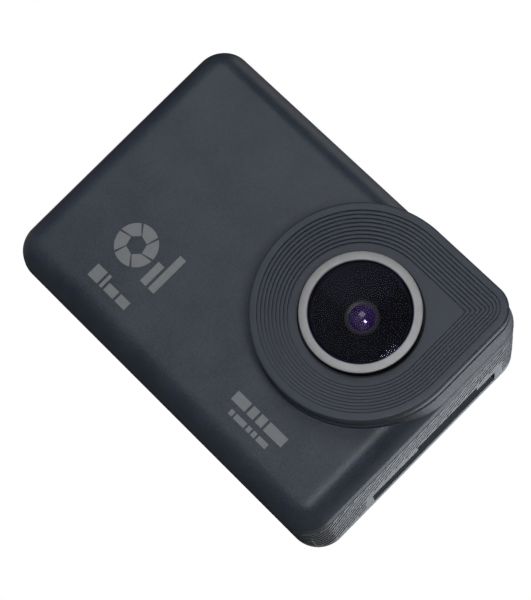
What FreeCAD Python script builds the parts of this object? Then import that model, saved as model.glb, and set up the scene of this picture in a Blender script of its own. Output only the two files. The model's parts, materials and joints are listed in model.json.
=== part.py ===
"""Compact action camera with a screen, modelled as an assembly of separate pieces.

Frame: X to the viewer's right when facing the lens, Z up, the lens looks along -Y. The origin is the
middle of the bottom face. Depths are given as "behind", the distance behind the front rim of the bezel.
Lengths are in millimetres.
"""
import FreeCAD, Part
import math
import os
import re

import Sketcher
from FreeCAD import Placement, Rotation, Vector

doc = FreeCAD.newDocument("action_camera")

GROOVES = 9
RIB_TILT = 45.0

DRIVING = {
    # outer case
    "width": (60.0, "case width"),
    "height": (43.4, "case height without the buttons"),
    "depth": (30.0, "bezel rim to back"),
    "corner": (4.6, "case corner radius"),
    "wall": (1.5, "frame wall"),
    "face_behind": (4.8, "flat front of the cover"),
    "soft_behind": (9.8, "where the cover's soft sides reach full width"),
    "soft_angle": (-9.0, "lean of the cover's soft sides, degrees"),
    "edge_round": (1.6, "rounding of the cover's front edge"),
    "split_behind": (11.3, "joint between cover and frame"),
    "cover_skin": (1.6, "cover's front wall"),
    "cover_side": (2.6, "cover's side wall"),
    # bezel
    "lens_inset": (15.9, "lens axis from the case's right side and from its top"),
    "bezel_radius": (15.1, "bezel outline"),
    "bezel_corner": (3.6, "bezel corner radius"),
    "bezel_thick": (3.2, "bezel rim to its back"),
    "seam": (0.2, "shadow gap between bezel and cover"),
    "dish_outer": (14.15, "dish at the rim"),
    "dish_inner": (9.8, "dish at its flat floor"),
    "dish_depth": (2.6, "rim to the dish's floor"),
    "groove_first": (9.98, "radius of the innermost groove"),
    "groove_pitch": (0.4875, "spacing of the grooves"),
    "groove_width": (0.24, "width of a groove"),
    "groove_depth": (0.28, "depth of a groove"),
    # lens
    "ring_outer": (8.42, "lens ring outer radius"),
    "ring_inner": (7.15, "lens ring inner radius"),
    "ring_behind": (0.8, "front of the lens ring"),
    "ring_back": (4.2, "back of the lens ring"),
    "fine": (0.05, "fitting clearance inside the lens"),
    "glass_apex": (0.5, "top of the domed glass"),
    "glass_edge": (1.2, "dome's edge"),
    "glass_thick": (0.8, "thickness of the domed glass"),
    "eye_radius": (2.2, "inner element radius"),
    "eye_apex": (4.3, "inner element's top"),
    "eye_edge": (5.3, "inner element's rim"),
    "baffle_back": (6.4, "back of the lens baffle"),
    "barrel_radius": (6.0, "threaded lens barrel"),
    "barrel_back": (16.8, "back of the lens barrel"),
    "holder_size": (14.0, "lens holder, square"),
    "holder_front": (10.5, "front of the lens holder"),
    "holder_back": (18.2, "back of the lens holder"),
    "sensor_size": (8.6, "image sensor, square"),
    # battery and its door
    "battery_left": (-24.4, "left side of the battery"),
    "battery_wide": (29.4, "battery width"),
    "battery_deep": (9.6, "battery thickness"),
    "battery_front": (15.5, "front of the battery"),
    "battery_low": (3.3, "bottom of the battery"),
    "battery_high": (33.0, "battery height"),
    "tray_skin": (0.6, "battery tray wall"),
    "tray_gap": (0.25, "gap between battery and tray"),
    "door_right": (6.5, "free end of the battery door"),
    "door_front": (11.55, "front edge of the door"),
    "door_back": (26.3, "rear edge of the door"),
    "door_thick": (1.5, "door panel"),
    "door_gap": (0.25, "gap around the door"),
    "pin_x": (-26.2, "door hinge axis, across"),
    "pin_z": (1.7, "door hinge axis, up"),
    "pin_radius": (0.6, "hinge pin"),
    "knuckle": (1.6, "hinge knuckle radius"),
    "ear_deep": (2.1, "each frame ear along the pin"),
    "latch_travel": (1.5, "slide of the door latch"),
    # port bay on the right side
    "bay_low": (11.9, "bottom of the port bay"),
    "bay_high": (37.0, "top of the port bay"),
    "bay_front": (22.7, "front of the port bay"),
    "bay_back": (28.0, "back of the port bay"),
    "bay_sunk": (2.0, "bay floor below the side face"),
    "card_low": (21.2, "bottom of the card notch"),
    "card_high": (33.3, "top of the card notch"),
    "card_front": (20.5, "front of the card notch"),
    "block_x": (26.8, "inner face of the thick wall around the bay"),
    "block_front": (19.2, "front of that thick wall"),
    # buttons
    "shutter_x": (-17.0, "shutter button, across"),
    "shutter_radius": (4.5, "shutter button"),
    "power_x": (-1.5, "power button, across"),
    "power_radius": (3.2, "power button"),
    "led_x": (-8.6, "status light, across"),
    "led_radius": (0.8, "status light"),
    "button_behind": (20.5, "middle of the top buttons"),
    "button_gap": (0.15, "gap around a button"),
    "button_proud": (0.6, "top buttons above the case"),
    "side_key_behind": (24.0, "middle of the side keys and the speaker holes"),
    "side_key_low": (22.0, "middle of the lower side key"),
    "side_key_pitch": (9.0, "spacing of the side keys"),
    "side_key_high": (6.4, "side key height"),
    "side_key_deep": (3.4, "side key width"),
    # tripod thread, a 1/4-20 camera thread
    "tripod_x": (18.8, "tripod thread, across"),
    "tripod_behind": (20.0, "tripod thread, behind the rim"),
    "tripod_bore": (2.58, "thread's inner radius"),
    "tripod_insert": (3.6, "brass insert radius"),
    "tripod_boss": (4.3, "frame boss round the insert"),
    "tripod_long": (5.5, "length of the insert"),
    # ribs on the sides
    "rib_rise": (2.1, "spacing of the slanted ribs along the height"),
    "rib_groove": (0.6, "width of the groove between two ribs"),
    "rib_deep": (0.25, "depth of that groove"),
    "rib_front": (12.0, "ribs start behind the rim"),
    "rib_back": (19.2, "ribs end beside the port bay"),
    # screen side
    "back_skin": (1.6, "rear cover thickness"),
    "screen_wide": (50.0, "screen glass width"),
    "screen_high": (37.4, "screen glass height"),
    "screen_thick": (0.9, "screen glass thickness"),
    "screen_x": (-0.9, "middle of the screen glass"),
    "panel_left": (-26.0, "left side of the display"),
    "panel_wide": (44.0, "display width"),
    "panel_high": (34.0, "display height"),
    "panel_front": (26.15, "front of the display"),
    "panel_deep": (2.0, "display thickness"),
    # boards and screws
    "board": (0.8, "circuit board thickness"),
    "main_behind": (13.4, "front of the main board"),
    "port_board_behind": (22.0, "front of the port board"),
    "port_board_thick": (0.75, "port board thickness"),
    "screw_radius": (0.8, "case screw shank"),
    "screw_head": (1.5, "case screw head"),
    "screw_long": (5.0, "case screw length"),
    "lug_front": (11.9, "front of the screw lugs"),
    "lug_deep": (1.5, "thickness of the screw lugs"),
}

# Case screws as (across, up) expressions.
SCREWS = [
    ("-width/2 + 4.6", "height - 3.4"),
    ("width/2 - 4.6", "height - 3.4"),
    ("width/2 - 4.6", "4.2"),
    ("door_right + 3.2", "4.2"),
]

# Openings in the bay's floor as (front, back, low, high) expressions: USB, HDMI and card.
PORT_WINDOWS = [
    ("bay_front + 0.25", "bay_front + 3.05", "bay_low + 1.2", "bay_low + 8.9"),
    ("bay_front + 0.25", "bay_front + 3.1", "bay_high - 7.7", "bay_high - 1.0"),
    ("card_front + 0.4", "card_front + 1.4", "card_low + 0.6", "card_high - 0.6"),
]
SPEAKER_HOLES = 5

LATCH_BEHIND = "(door_front + door_back)/2"

# How far into the frame's wall an inner rib or lug reaches, short of the rounded corners.
SKIN_LAP = "(wall - 0.2)"

LENS_X = "(width/2 - lens_inset)"
LENS_Z = "(height - lens_inset)"


# ---------------------------------------------------------------- sheet and expressions

def make_sheet():
    """Writes the driving dimensions as plain numbers with aliases."""
    sheet = doc.addObject("Spreadsheet::Sheet", "dims")
    for row, (alias, (number, note)) in enumerate(DRIVING.items(), start=1):
        sheet.set(f"A{row}", note)
        sheet.set(f"B{row}", str(number))
        sheet.setAlias(f"B{row}", alias)
    doc.recompute()
    return sheet


def bound(text):
    """Turns 'width/2' into an expression on the sheet, 'dims.width/2'."""
    def link(match):
        word = match.group(0)
        return f"dims.{word}" if word in DRIVING else word
    return re.sub(r"[a-z_]+", link, text)


def number(text):
    """The present value of an expression, to start a sketch close to its answer."""
    return float(SHEET.evalExpression(bound(text)))


def along(behind):
    """Y of a plane that lies this far behind the bezel's rim."""
    return f"({behind}) - depth/2"


def place(obj, across, behind, up, rotation=None):
    """Puts an object at (across, behind, up), all three bound to the sheet."""
    if rotation:
        obj.Placement = Placement(Vector(), rotation)
    obj.setExpression("Placement.Base.x", bound(across))
    obj.setExpression("Placement.Base.y", bound(along(behind)))
    obj.setExpression("Placement.Base.z", bound(up))
    return obj


# ---------------------------------------------------------------- primitives and booleans

def box(name, left, front, low, wide, deep, high):
    obj = doc.addObject("Part::Box", name)
    obj.setExpression("Length", bound(wide))
    obj.setExpression("Width", bound(deep))
    obj.setExpression("Height", bound(high))
    return place(obj, left, front, low)


TURNS = {
    "X": Rotation(Vector(0, 1, 0), 90),
    "Y": Rotation(Vector(1, 0, 0), -90),
    "Z": Rotation(),
}


def rod(name, axis, across, behind, up, radius, length):
    """A cylinder that starts at the given point and runs along +X, +Y or +Z."""
    obj = doc.addObject("Part::Cylinder", name)
    obj.setExpression("Radius", bound(radius))
    obj.setExpression("Height", bound(length))
    return place(obj, across, behind, up, TURNS[axis])


def cut(name, base, *tools):
    for index, tool in enumerate(tools):
        result = doc.addObject("Part::Cut", f"{name}_cut{index}")
        result.Base = base
        result.Tool = tool
        base = result
    base.Label = name
    return base


def fuse(name, *pieces):
    result = doc.addObject("Part::MultiFuse", f"{name}_fuse")
    result.Shapes = list(pieces)
    result.Label = name
    return result


def group(name, *pieces):
    """Separate solids that share one node."""
    result = doc.addObject("Part::Compound", f"{name}_set")
    result.Links = list(pieces)
    result.Label = name
    return result


# ---------------------------------------------------------------- bodies, sketches and features

def new_body(name):
    body = doc.addObject("PartDesign::Body", name)
    body.Label = name
    return body


def origin_feature(body, role):
    return next(item for item in body.Origin.OriginFeatures if item.Role == role)


def sketch_on(body, name, role, offset):
    """A sketch on one of the body's own origin planes, moved along the plane's normal."""
    sketch = body.newObject("Sketcher::SketchObject", name)
    sketch.AttachmentSupport = [(origin_feature(body, role), "")]
    sketch.MapMode = "FlatFace"
    sketch.setExpression("AttachmentOffset.Base.z", bound(offset))
    return sketch


def front_sketch(body, name, behind):
    """Sketch seen from the front: local axes are X and Z, and the normal is -Y."""
    return sketch_on(body, name, "XZ_Plane", f"depth/2 - ({behind})")


def side_sketch(body, name, across):
    """Sketch seen from the right side: local axes are Y and Z, and the normal is +X."""
    return sketch_on(body, name, "YZ_Plane", across)


def level_sketch(body, name, up):
    """Sketch seen from above: local axes are X and Y, and the normal is +Z."""
    return sketch_on(body, name, "XY_Plane", up)


def constrain(sketch, expression, kind, *where):
    index = sketch.addConstraint(Sketcher.Constraint(kind, *where, number(expression)))
    sketch.setExpression(f"Constraints[{index}]", bound(expression))


def pin_x(sketch, expression, geometry, point):
    constrain(sketch, expression, "DistanceX", -1, 1, geometry, point)


def pin_y(sketch, expression, geometry, point):
    constrain(sketch, expression, "DistanceY", -1, 1, geometry, point)


def join_tangent(sketch, first, count):
    """Joins a closed run of lines and arcs end to start, tangent at each joint."""
    for step in range(count):
        after = first + (step + 1) % count
        sketch.addConstraint(Sketcher.Constraint("Tangent", first + step, 2, after, 1))


def arc(centre_x, centre_y, radius, start, end):
    circle = Part.Circle(Vector(centre_x, centre_y, 0), Vector(0, 0, 1), radius)
    return Part.ArcOfCircle(circle, math.radians(start), math.radians(end))


def line(x1, y1, x2, y2):
    return Part.LineSegment(Vector(x1, y1, 0), Vector(x2, y2, 0))


def draw_polygon(sketch, points):
    """Closed outline through (x, y) expressions."""
    values = [(number(x), number(y)) for x, y in points]
    first = sketch.GeometryCount
    count = len(points)
    for index in range(count):
        sketch.addGeometry(line(*values[index], *values[(index + 1) % count]))
    for index, (x, y) in enumerate(points):
        after = first + (index + 1) % count
        sketch.addConstraint(Sketcher.Constraint("Coincident", first + index, 2, after, 1))
        pin_x(sketch, x, first + index, 1)
        pin_y(sketch, y, first + index, 1)


def draw_rectangle(sketch, left, right, low, high):
    draw_polygon(sketch, [(left, low), (right, low), (right, high), (left, high)])


def draw_rounded(sketch, left, right, low, high, radius):
    """Rectangle with round corners, drawn anticlockwise from its lower edge."""
    x1, x2, y1, y2, r = (number(text) for text in (left, right, low, high, radius))
    first = sketch.GeometryCount
    sketch.addGeometry([
        line(x1 + r, y1, x2 - r, y1),
        arc(x2 - r, y1 + r, r, -90, 0),
        line(x2, y1 + r, x2, y2 - r),
        arc(x2 - r, y2 - r, r, 0, 90),
        line(x2 - r, y2, x1 + r, y2),
        arc(x1 + r, y2 - r, r, 90, 180),
        line(x1, y2 - r, x1, y1 + r),
        arc(x1 + r, y1 + r, r, 180, 270),
    ])
    join_tangent(sketch, first, 8)
    for edge in (0, 4):
        sketch.addConstraint(Sketcher.Constraint("Horizontal", first + edge))
    for edge in (2, 6):
        sketch.addConstraint(Sketcher.Constraint("Vertical", first + edge))
    for other in (3, 5, 7):
        sketch.addConstraint(Sketcher.Constraint("Equal", first + 1, first + other))
    constrain(sketch, radius, "Radius", first + 1)
    pin_x(sketch, left, first + 6, 1)
    pin_x(sketch, right, first + 2, 1)
    pin_y(sketch, low, first, 1)
    pin_y(sketch, high, first + 4, 1)


def draw_circle(sketch, across, up, radius):
    centre = Vector(number(across), number(up), 0)
    index = sketch.addGeometry(Part.Circle(centre, Vector(0, 0, 1), number(radius)))
    constrain(sketch, radius, "Radius", index)
    pin_x(sketch, across, index, 3)
    pin_y(sketch, up, index, 3)


def draw_teardrop(sketch, radius, rounding):
    """Circle about the lens axis whose upper right quarter is squared out to a rounded corner."""
    x, z, r, c = (number(text) for text in (LENS_X, LENS_Z, radius, rounding))
    first = sketch.GeometryCount
    sketch.addGeometry([
        arc(x, z, r, 90, 360),
        line(x + r, z, x + r, z + r - c),
        arc(x + r - c, z + r - c, c, 0, 90),
        line(x + r - c, z + r, x, z + r),
    ])
    join_tangent(sketch, first, 4)
    sketch.addConstraint(Sketcher.Constraint("Vertical", first + 1))
    sketch.addConstraint(Sketcher.Constraint("Horizontal", first + 3))
    constrain(sketch, radius, "Radius", first)
    constrain(sketch, rounding, "Radius", first + 2)
    pin_x(sketch, LENS_X, first, 3)
    pin_y(sketch, LENS_Z, first, 3)


def teardrop_corner(radius):
    """Corner radius of a teardrop that runs parallel to the bezel's outline."""
    return f"max(bezel_corner - bezel_radius + ({radius}); 0.3)"


def extrude(kind, body, sketch, length, reverse):
    feature = body.newObject(f"PartDesign::{kind}", f"{sketch.Name}_{kind.lower()}")
    feature.Profile = sketch
    feature.setExpression("Length", bound(length))
    feature.Reversed = reverse
    doc.recompute()
    return feature


def pad(body, sketch, length, reverse=False):
    """Adds material along the sketch's normal, or against it when reversed."""
    return extrude("Pad", body, sketch, length, reverse)


def pocket(body, sketch, length, reverse=False):
    """Removes material against the sketch's normal, or along it when reversed."""
    return extrude("Pocket", body, sketch, length, reverse)


def round_edges(body, name, radius, wanted):
    """Fillets the edges of the body's tip that pass the test."""
    tip = body.Tip
    names = [f"Edge{index}" for index, edge in enumerate(tip.Shape.Edges, start=1) if wanted(edge)]
    fillet = body.newObject("PartDesign::Fillet", name)
    fillet.Base = (tip, names)
    fillet.setExpression("Radius", bound(radius))
    doc.recompute()
    return fillet


def repeat(body, feature, role, step, count):
    """Repeats the last feature along one of the body's own axes."""
    pattern = body.newObject("PartDesign::LinearPattern", f"{feature.Name}_row")
    pattern.Originals = [feature]
    pattern.Direction = (origin_feature(body, role), [""])
    pattern.Mode = "Spacing"
    pattern.setExpression("Offset", bound(step))
    pattern.Occurrences = count
    body.Tip = pattern
    doc.recompute()
    return pattern


def turned(name, points):
    """A piece turned about the lens axis from (radius, behind) points."""
    body = new_body(name)
    sketch = level_sketch(body, f"{name}_profile", "0")
    draw_polygon(sketch, [(radius, along(behind)) for radius, behind in points])
    spin(body, sketch)
    return body


def spin(body, sketch):
    feature = body.newObject("PartDesign::Revolution", f"{sketch.Name}_turn")
    feature.Profile = sketch
    feature.ReferenceAxis = (origin_feature(body, "Y_Axis"), [""])
    feature.Angle = 360
    body.setExpression("Placement.Base.x", bound(LENS_X))
    body.setExpression("Placement.Base.z", bound(LENS_Z))
    doc.recompute()


def lies_at(edge, behind):
    """True where a whole edge lies in the plane this far behind the bezel's rim."""
    y = number(along(behind))
    box_of = edge.BoundBox
    return abs(box_of.YMin - y) < 0.01 and abs(box_of.YMax - y) < 0.01


SHEET = make_sheet()


# ---------------------------------------------------------------- outer case

def case_outline(sketch, inset="0"):
    draw_rounded(sketch, f"-width/2 + {inset}", f"width/2 - {inset}", inset, f"height - {inset}",
                 f"corner - {inset}")


def make_front_cover():
    """Moulded front shell with soft edges, a boss under the bezel and four screw posts."""
    body = new_body("front_cover")
    rim = front_sketch(body, "cover_rim", "split_behind")
    case_outline(rim)
    pad(body, rim, "split_behind - soft_behind")

    face = front_sketch(body, "cover_face", "soft_behind")
    case_outline(face)
    soft = pad(body, face, "soft_behind - face_behind")
    soft.setExpression("TaperAngle", bound("soft_angle"))
    doc.recompute()
    round_edges(body, "cover_edge_round", "edge_round", lambda edge: lies_at(edge, "face_behind"))

    boss = front_sketch(body, "cover_boss", "soft_behind")
    draw_teardrop(boss, "bezel_radius", "bezel_corner")
    pad(body, boss, "soft_behind - bezel_thick - seam")

    hollow = front_sketch(body, "cover_hollow", "split_behind")
    draw_rounded(hollow, "-width/2 + cover_side", "width/2 - cover_side", "cover_side",
                 "height - cover_side", "corner - wall")
    pocket(body, hollow, "split_behind - face_behind - cover_skin", reverse=True)

    posts = front_sketch(body, "cover_posts", "lug_front")
    for across, up in SCREWS:
        draw_circle(posts, across, up, "screw_head + 0.4")
    pad(body, posts, "lug_front - face_behind - cover_skin/2")

    pilots = front_sketch(body, "cover_pilots", "lug_front")
    for across, up in SCREWS:
        draw_circle(pilots, across, up, "screw_radius")
    pocket(body, pilots, "screw_long", reverse=True)

    seat = front_sketch(body, "cover_ring_seat", "bezel_thick")
    draw_circle(seat, LENS_X, LENS_Z, "ring_outer + fine")
    pocket(body, seat, "ring_back - bezel_thick")

    opening = front_sketch(body, "cover_lens_opening", "bezel_thick")
    draw_circle(opening, LENS_X, LENS_Z, "ring_inner + 2*fine")
    pocket(body, opening, "split_behind")
    return body


def make_lens_bezel():
    """Teardrop trim: flat rim, grooved dish and a shadow line round its side."""
    body = new_body("lens_bezel")
    outline = front_sketch(body, "bezel_outline", "bezel_thick")
    draw_teardrop(outline, "bezel_radius", "bezel_corner")
    pad(body, outline, "bezel_thick")
    round_edges(body, "bezel_rim_round", "0.25", lambda edge: lies_at(edge, "0"))

    rim = front_sketch(body, "dish_rim", "0")
    draw_teardrop(rim, "dish_outer", teardrop_corner("dish_outer"))
    floor = front_sketch(body, "dish_floor", "dish_depth")
    draw_teardrop(floor, "dish_inner", teardrop_corner("dish_inner"))
    dish = body.newObject("PartDesign::SubtractiveLoft", "bezel_dish")
    dish.Profile = rim
    dish.Sections = [floor]
    dish.Ruled = True
    doc.recompute()

    for index in range(GROOVES):
        radius = f"(groove_first + {index}*groove_pitch)"
        ring = front_sketch(body, f"groove_{index + 1}", "0")
        for side in ("+", "-"):
            edge = f"{radius} {side} groove_width/2"
            draw_teardrop(ring, edge, teardrop_corner(edge))
        slope = f"(dish_outer - {radius}) / (dish_outer - dish_inner) * dish_depth"
        pocket(body, ring, f"{slope} + groove_depth")

    opening = front_sketch(body, "bezel_opening", "0")
    draw_circle(opening, LENS_X, LENS_Z, "ring_outer + seam")
    pocket(body, opening, "depth/2")

    line_around = front_sketch(body, "bezel_shadow_line", "0.45")
    draw_teardrop(line_around, "bezel_radius + 1", "bezel_corner + 1")
    draw_teardrop(line_around, "bezel_radius - seam", "bezel_corner - seam")
    pocket(body, line_around, "0.22")
    return body


def make_body_frame():
    """Middle frame: ring wall, thick wall round the port bay, door opening, hinge ears and lugs."""
    body = new_body("body_frame")
    ring = front_sketch(body, "frame_ring", "depth")
    case_outline(ring)
    case_outline(ring, "wall")
    pad(body, ring, "depth - split_behind")

    block = front_sketch(body, "frame_block", "depth")
    draw_rectangle(block, "block_x", f"width/2 - {SKIN_LAP}", SKIN_LAP, f"height - {SKIN_LAP}")
    pad(body, block, "depth - block_front")

    lugs = front_sketch(body, "frame_lugs", "lug_front + lug_deep")
    reach = "(screw_head + 0.5)"
    for across, up in SCREWS[:2]:
        left, right = f"{across} - {reach}", f"{across} + {reach}"
        if across.startswith("-"):
            left = f"-width/2 + {SKIN_LAP}"
        else:
            right = f"width/2 - {SKIN_LAP}"
        draw_rectangle(lugs, left, right, f"{up} - {reach}", f"height - {SKIN_LAP}")
    for across, up in SCREWS[2:]:
        draw_rectangle(lugs, f"{across} - {reach}", f"{across} + {reach}", SKIN_LAP, f"{up} + {reach}")
    pad(body, lugs, "lug_deep")

    boss = level_sketch(body, "tripod_boss", "wall/2")
    draw_circle(boss, "tripod_x", along("tripod_behind"), "tripod_boss")
    pad(body, boss, "tripod_long")

    cut_frame_openings(body)
    add_hinge_ears(body)
    cut_ribs(body)
    return body


def cut_frame_openings(body):
    """Screw and insert holes, the port bay, the door opening and the holes for keys, light and sound."""
    holes = front_sketch(body, "lug_holes", "lug_front - 1")
    for across, up in SCREWS:
        draw_circle(holes, across, up, "screw_radius + 0.1")
    pocket(body, holes, "lug_deep + 2")

    insert = level_sketch(body, "tripod_hole", "tripod_long")
    draw_circle(insert, "tripod_x", along("tripod_behind"), "tripod_insert")
    pocket(body, insert, "tripod_long + 1")

    bay = side_sketch(body, "bay_trench", "width/2")
    draw_rectangle(bay, along("bay_front"), along("bay_back"), "bay_low", "bay_high")
    pocket(body, bay, "bay_sunk")
    notch = side_sketch(body, "card_notch", "width/2")
    draw_rectangle(notch, along("card_front"), along("bay_front + 0.2"), "card_low", "card_high")
    pocket(body, notch, "bay_sunk")
    windows = side_sketch(body, "port_windows", "width/2")
    for front, back, low, high in PORT_WINDOWS:
        draw_rectangle(windows, along(front), along(back), low, high)
    pocket(body, windows, "width/2 - block_x + 1")

    door = level_sketch(body, "door_opening", "pin_z + knuckle + door_gap")
    draw_rectangle(door, "pin_x - knuckle - door_gap", "door_right + door_gap",
                   along("split_behind - 1"), along("door_back + door_gap"))
    pocket(body, door, "pin_z + knuckle + 1")
    keeper = level_sketch(body, "latch_keeper", "pin_z + knuckle")
    draw_rectangle(keeper, "door_right", "door_right + latch_travel",
                   along(f"{LATCH_BEHIND} - 2.2"), along(f"{LATCH_BEHIND} + 2.2"))
    pocket(body, keeper, "pin_z + knuckle + 1")

    top = level_sketch(body, "top_holes", "height")
    for across, radius in (("shutter_x", "shutter_radius"), ("power_x", "power_radius")):
        draw_circle(top, across, along("button_behind"), f"{radius} + button_gap")
    draw_circle(top, "led_x", along("button_behind"), "led_radius")
    pocket(body, top, "wall + 1")

    left = side_sketch(body, "side_key_holes", "-width/2")
    for index in (0, 1):
        middle = f"side_key_low + {index}*side_key_pitch"
        half_y = "(side_key_deep/2 + button_gap)"
        half_z = "(side_key_high/2 + button_gap)"
        draw_rounded(left, along(f"side_key_behind - {half_y}"), along(f"side_key_behind + {half_y}"),
                     f"{middle} - {half_z}", f"{middle} + {half_z}", "side_key_deep/2")
    pocket(body, left, "wall + 1", reverse=True)

    sound = side_sketch(body, "speaker_holes", "-width/2")
    for index in range(SPEAKER_HOLES):
        draw_circle(sound, along("side_key_behind"), f"7.0 + {index}*2", "0.5")
    pocket(body, sound, "wall + 1", reverse=True)

    voice = side_sketch(body, "microphone_hole", "width/2")
    draw_circle(voice, along("bay_front - 0.7"), "bay_low - 1.5", "0.45")
    pocket(body, voice, "width/2 - block_x + 1")


def add_hinge_ears(body):
    """Two round ears that hold the door's hinge pin, webbed to the frame's left wall."""
    for name, front in (("front_ear", "door_front + 0.1"), ("rear_ear", "door_back - 0.1 - ear_deep")):
        ear = front_sketch(body, name, f"{front} + ear_deep")
        draw_circle(ear, "pin_x", "pin_z", "knuckle")
        pad(body, ear, "ear_deep")
        web = front_sketch(body, f"{name}_web", f"{front} + ear_deep")
        draw_rectangle(web, "-width/2 + wall/2", "pin_x + 0.4", "pin_z + 0.3",
                       "pin_z + knuckle + 2*door_gap")
        pad(body, web, "ear_deep")
    hole = front_sketch(body, "pin_holes", "split_behind")
    draw_circle(hole, "pin_x", "pin_z", "pin_radius")
    pocket(body, hole, "door_back + wall - split_behind")


def cut_ribs(body):
    """Slanted grooves between the grip ribs, on both sides of the frame."""
    run = "(rib_back - rib_front)"
    rise = f"{run}*tan({RIB_TILT})"
    tall = f"rib_groove/cos({RIB_TILT})"
    start = f"(corner + {rise})"
    count = int((number("height - 2*corner") - number(rise)) / number("rib_rise")) + 1
    for name, across, reverse in (("right", "width/2", False), ("left", "-width/2", True)):
        sketch = side_sketch(body, f"rib_groove_{name}", across)
        draw_polygon(sketch, [
            (along("rib_front"), f"{start} - {tall}"),
            (along("rib_back"), f"corner - {tall}"),
            (along("rib_back"), "corner"),
            (along("rib_front"), start),
        ])
        groove = pocket(body, sketch, "rib_deep", reverse)
        repeat(body, groove, "Z_Axis", "rib_rise", count)


def make_rear_cover():
    """Plate that closes the frame's back and carries the screen glass in a recess."""
    body = new_body("rear_cover")
    plate = front_sketch(body, "rear_plate", "depth")
    draw_rounded(plate, "-width/2 + wall + fine", "block_x - fine", "wall + fine",
                 "height - wall - fine", "corner - wall")
    pad(body, plate, "back_skin")
    recess = front_sketch(body, "screen_recess", "depth - screen_thick")
    draw_rounded(recess, "screen_x - screen_wide/2 - fine", "screen_x + screen_wide/2 + fine",
                 "height/2 - screen_high/2 - fine", "height/2 + screen_high/2 + fine", "2.0")
    pocket(body, recess, "2*screen_thick")
    window = front_sketch(body, "screen_window", "depth - back_skin - 1")
    draw_rectangle(window, "panel_left + 1.5", "panel_left + panel_wide - 1.5",
                   "height/2 - panel_high/2 + 1.5", "height/2 + panel_high/2 - 1.5")
    pocket(body, window, "back_skin + 2")
    return body


# ---------------------------------------------------------------- lens

def make_lens_ring():
    return turned("lens_ring", [
        ("ring_inner", "ring_behind + 0.15"),
        ("ring_inner + 0.15", "ring_behind"),
        ("ring_outer - 0.2", "ring_behind"),
        ("ring_outer", "ring_behind + 0.2"),
        ("ring_outer", "ring_back"),
        ("ring_inner", "ring_back"),
    ])


def dome_radius(half_width, sag):
    """Radius of a sphere cap from its half width and height."""
    return f"(({half_width})^2 + ({sag})^2) / (2*({sag}))"


def domed(name, radius, apex, edge, back):
    """A lens with a domed front, turned about the lens axis, with a flat or parallel back."""
    body = new_body(name)
    sketch = level_sketch(body, f"{name}_profile", "0")
    sphere = dome_radius(radius, f"({edge}) - ({apex})")
    r, y_apex, y_edge, y_back, ball = (
        number(text) for text in (radius, along(apex), along(edge), along(back), sphere))
    centre_y = y_apex + ball
    lean = math.degrees(math.asin(r / ball))
    sketch.addGeometry([
        arc(0, centre_y, ball, -90, -90 + lean),
        line(r, y_edge, r, y_back),
        line(r, y_back, 0, y_back),
        line(0, y_back, 0, y_apex),
    ])
    for here, there in ((0, 1), (1, 2), (2, 3)):
        sketch.addConstraint(Sketcher.Constraint("Coincident", here, 2, there, 1))
    sketch.addConstraint(Sketcher.Constraint("Coincident", 3, 2, 0, 1))
    pin_x(sketch, "0", 0, 1)
    pin_x(sketch, "0", 0, 3)
    pin_y(sketch, along(apex), 0, 1)
    pin_x(sketch, radius, 0, 2)
    pin_y(sketch, along(edge), 0, 2)
    pin_x(sketch, radius, 1, 2)
    pin_y(sketch, along(back), 1, 2)
    pin_x(sketch, "0", 2, 2)
    pin_y(sketch, along(back), 2, 2)
    spin(body, sketch)
    return body


def make_lens_optics():
    """Front glass, baffle, inner element, barrel, element stack, holder, filter and sensor."""
    domed("front_glass", "ring_inner - fine", "glass_apex", "glass_edge", "glass_edge + glass_thick")
    turned("lens_baffle", [
        ("ring_inner - fine", "glass_edge + glass_thick + fine"),
        ("ring_inner - fine", "baffle_back"),
        ("eye_radius + fine", "baffle_back"),
        ("eye_radius + fine", "eye_edge"),
        ("ring_inner - 0.6", "glass_edge + glass_thick + fine"),
    ])
    domed("inner_element", "eye_radius", "eye_apex", "eye_edge", "baffle_back")
    turned("lens_barrel", [
        ("ring_inner - fine", "baffle_back + fine"),
        ("ring_inner - fine", "baffle_back + 1"),
        ("ring_outer", "baffle_back + 1"),
        ("ring_outer", "baffle_back + 2"),
        ("barrel_radius", "baffle_back + 2"),
        ("barrel_radius", "barrel_back"),
        ("barrel_radius - 2", "barrel_back"),
        ("barrel_radius - 2", "baffle_back + fine"),
    ])
    discs = [
        rod(f"element_{index}", "Y", LENS_X, f"baffle_back + 1 + {index}*3.1", LENS_Z,
            "barrel_radius - 2 - fine", "1.6")
        for index in range(3)
    ]
    group("rear_elements", *discs)

    half = "holder_size/2"
    block = box("holder_block", f"{LENS_X} - {half}", "holder_front", f"{LENS_Z} - {half}",
                "holder_size", "holder_back - holder_front", "holder_size")
    bore = rod("holder_bore", "Y", LENS_X, "holder_front - 1", LENS_Z, "barrel_radius + fine",
               "barrel_back - holder_front + 1.2")
    pit = box("holder_pit", f"{LENS_X} - sensor_size/2 - 0.3", "barrel_back",
              f"{LENS_Z} - sensor_size/2 - 0.3", "sensor_size + 0.6",
              "holder_back - barrel_back + 1", "sensor_size + 0.6")
    cut("lens_holder", block, bore, pit)

    def square(name, front, size, thick):
        box(name, f"{LENS_X} - ({size})/2", front, f"{LENS_Z} - ({size})/2", size, thick, size)

    square("ir_filter", "barrel_back + 0.1", "sensor_size - 1", "0.3")
    square("image_sensor", "barrel_back + 0.5", "sensor_size", "holder_back - barrel_back - 0.5")
    square("sensor_board", "holder_back", "holder_size + 1.4", "board")
    seal = doc.addObject("Part::Torus", "lens_seal")
    seal.setExpression("Radius1", bound("ring_inner + 0.75"))
    seal.setExpression("Radius2", bound("0.45"))
    place(seal, LENS_X, "baffle_back + 0.5", LENS_Z, TURNS["Y"])


# ---------------------------------------------------------------- power

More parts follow.
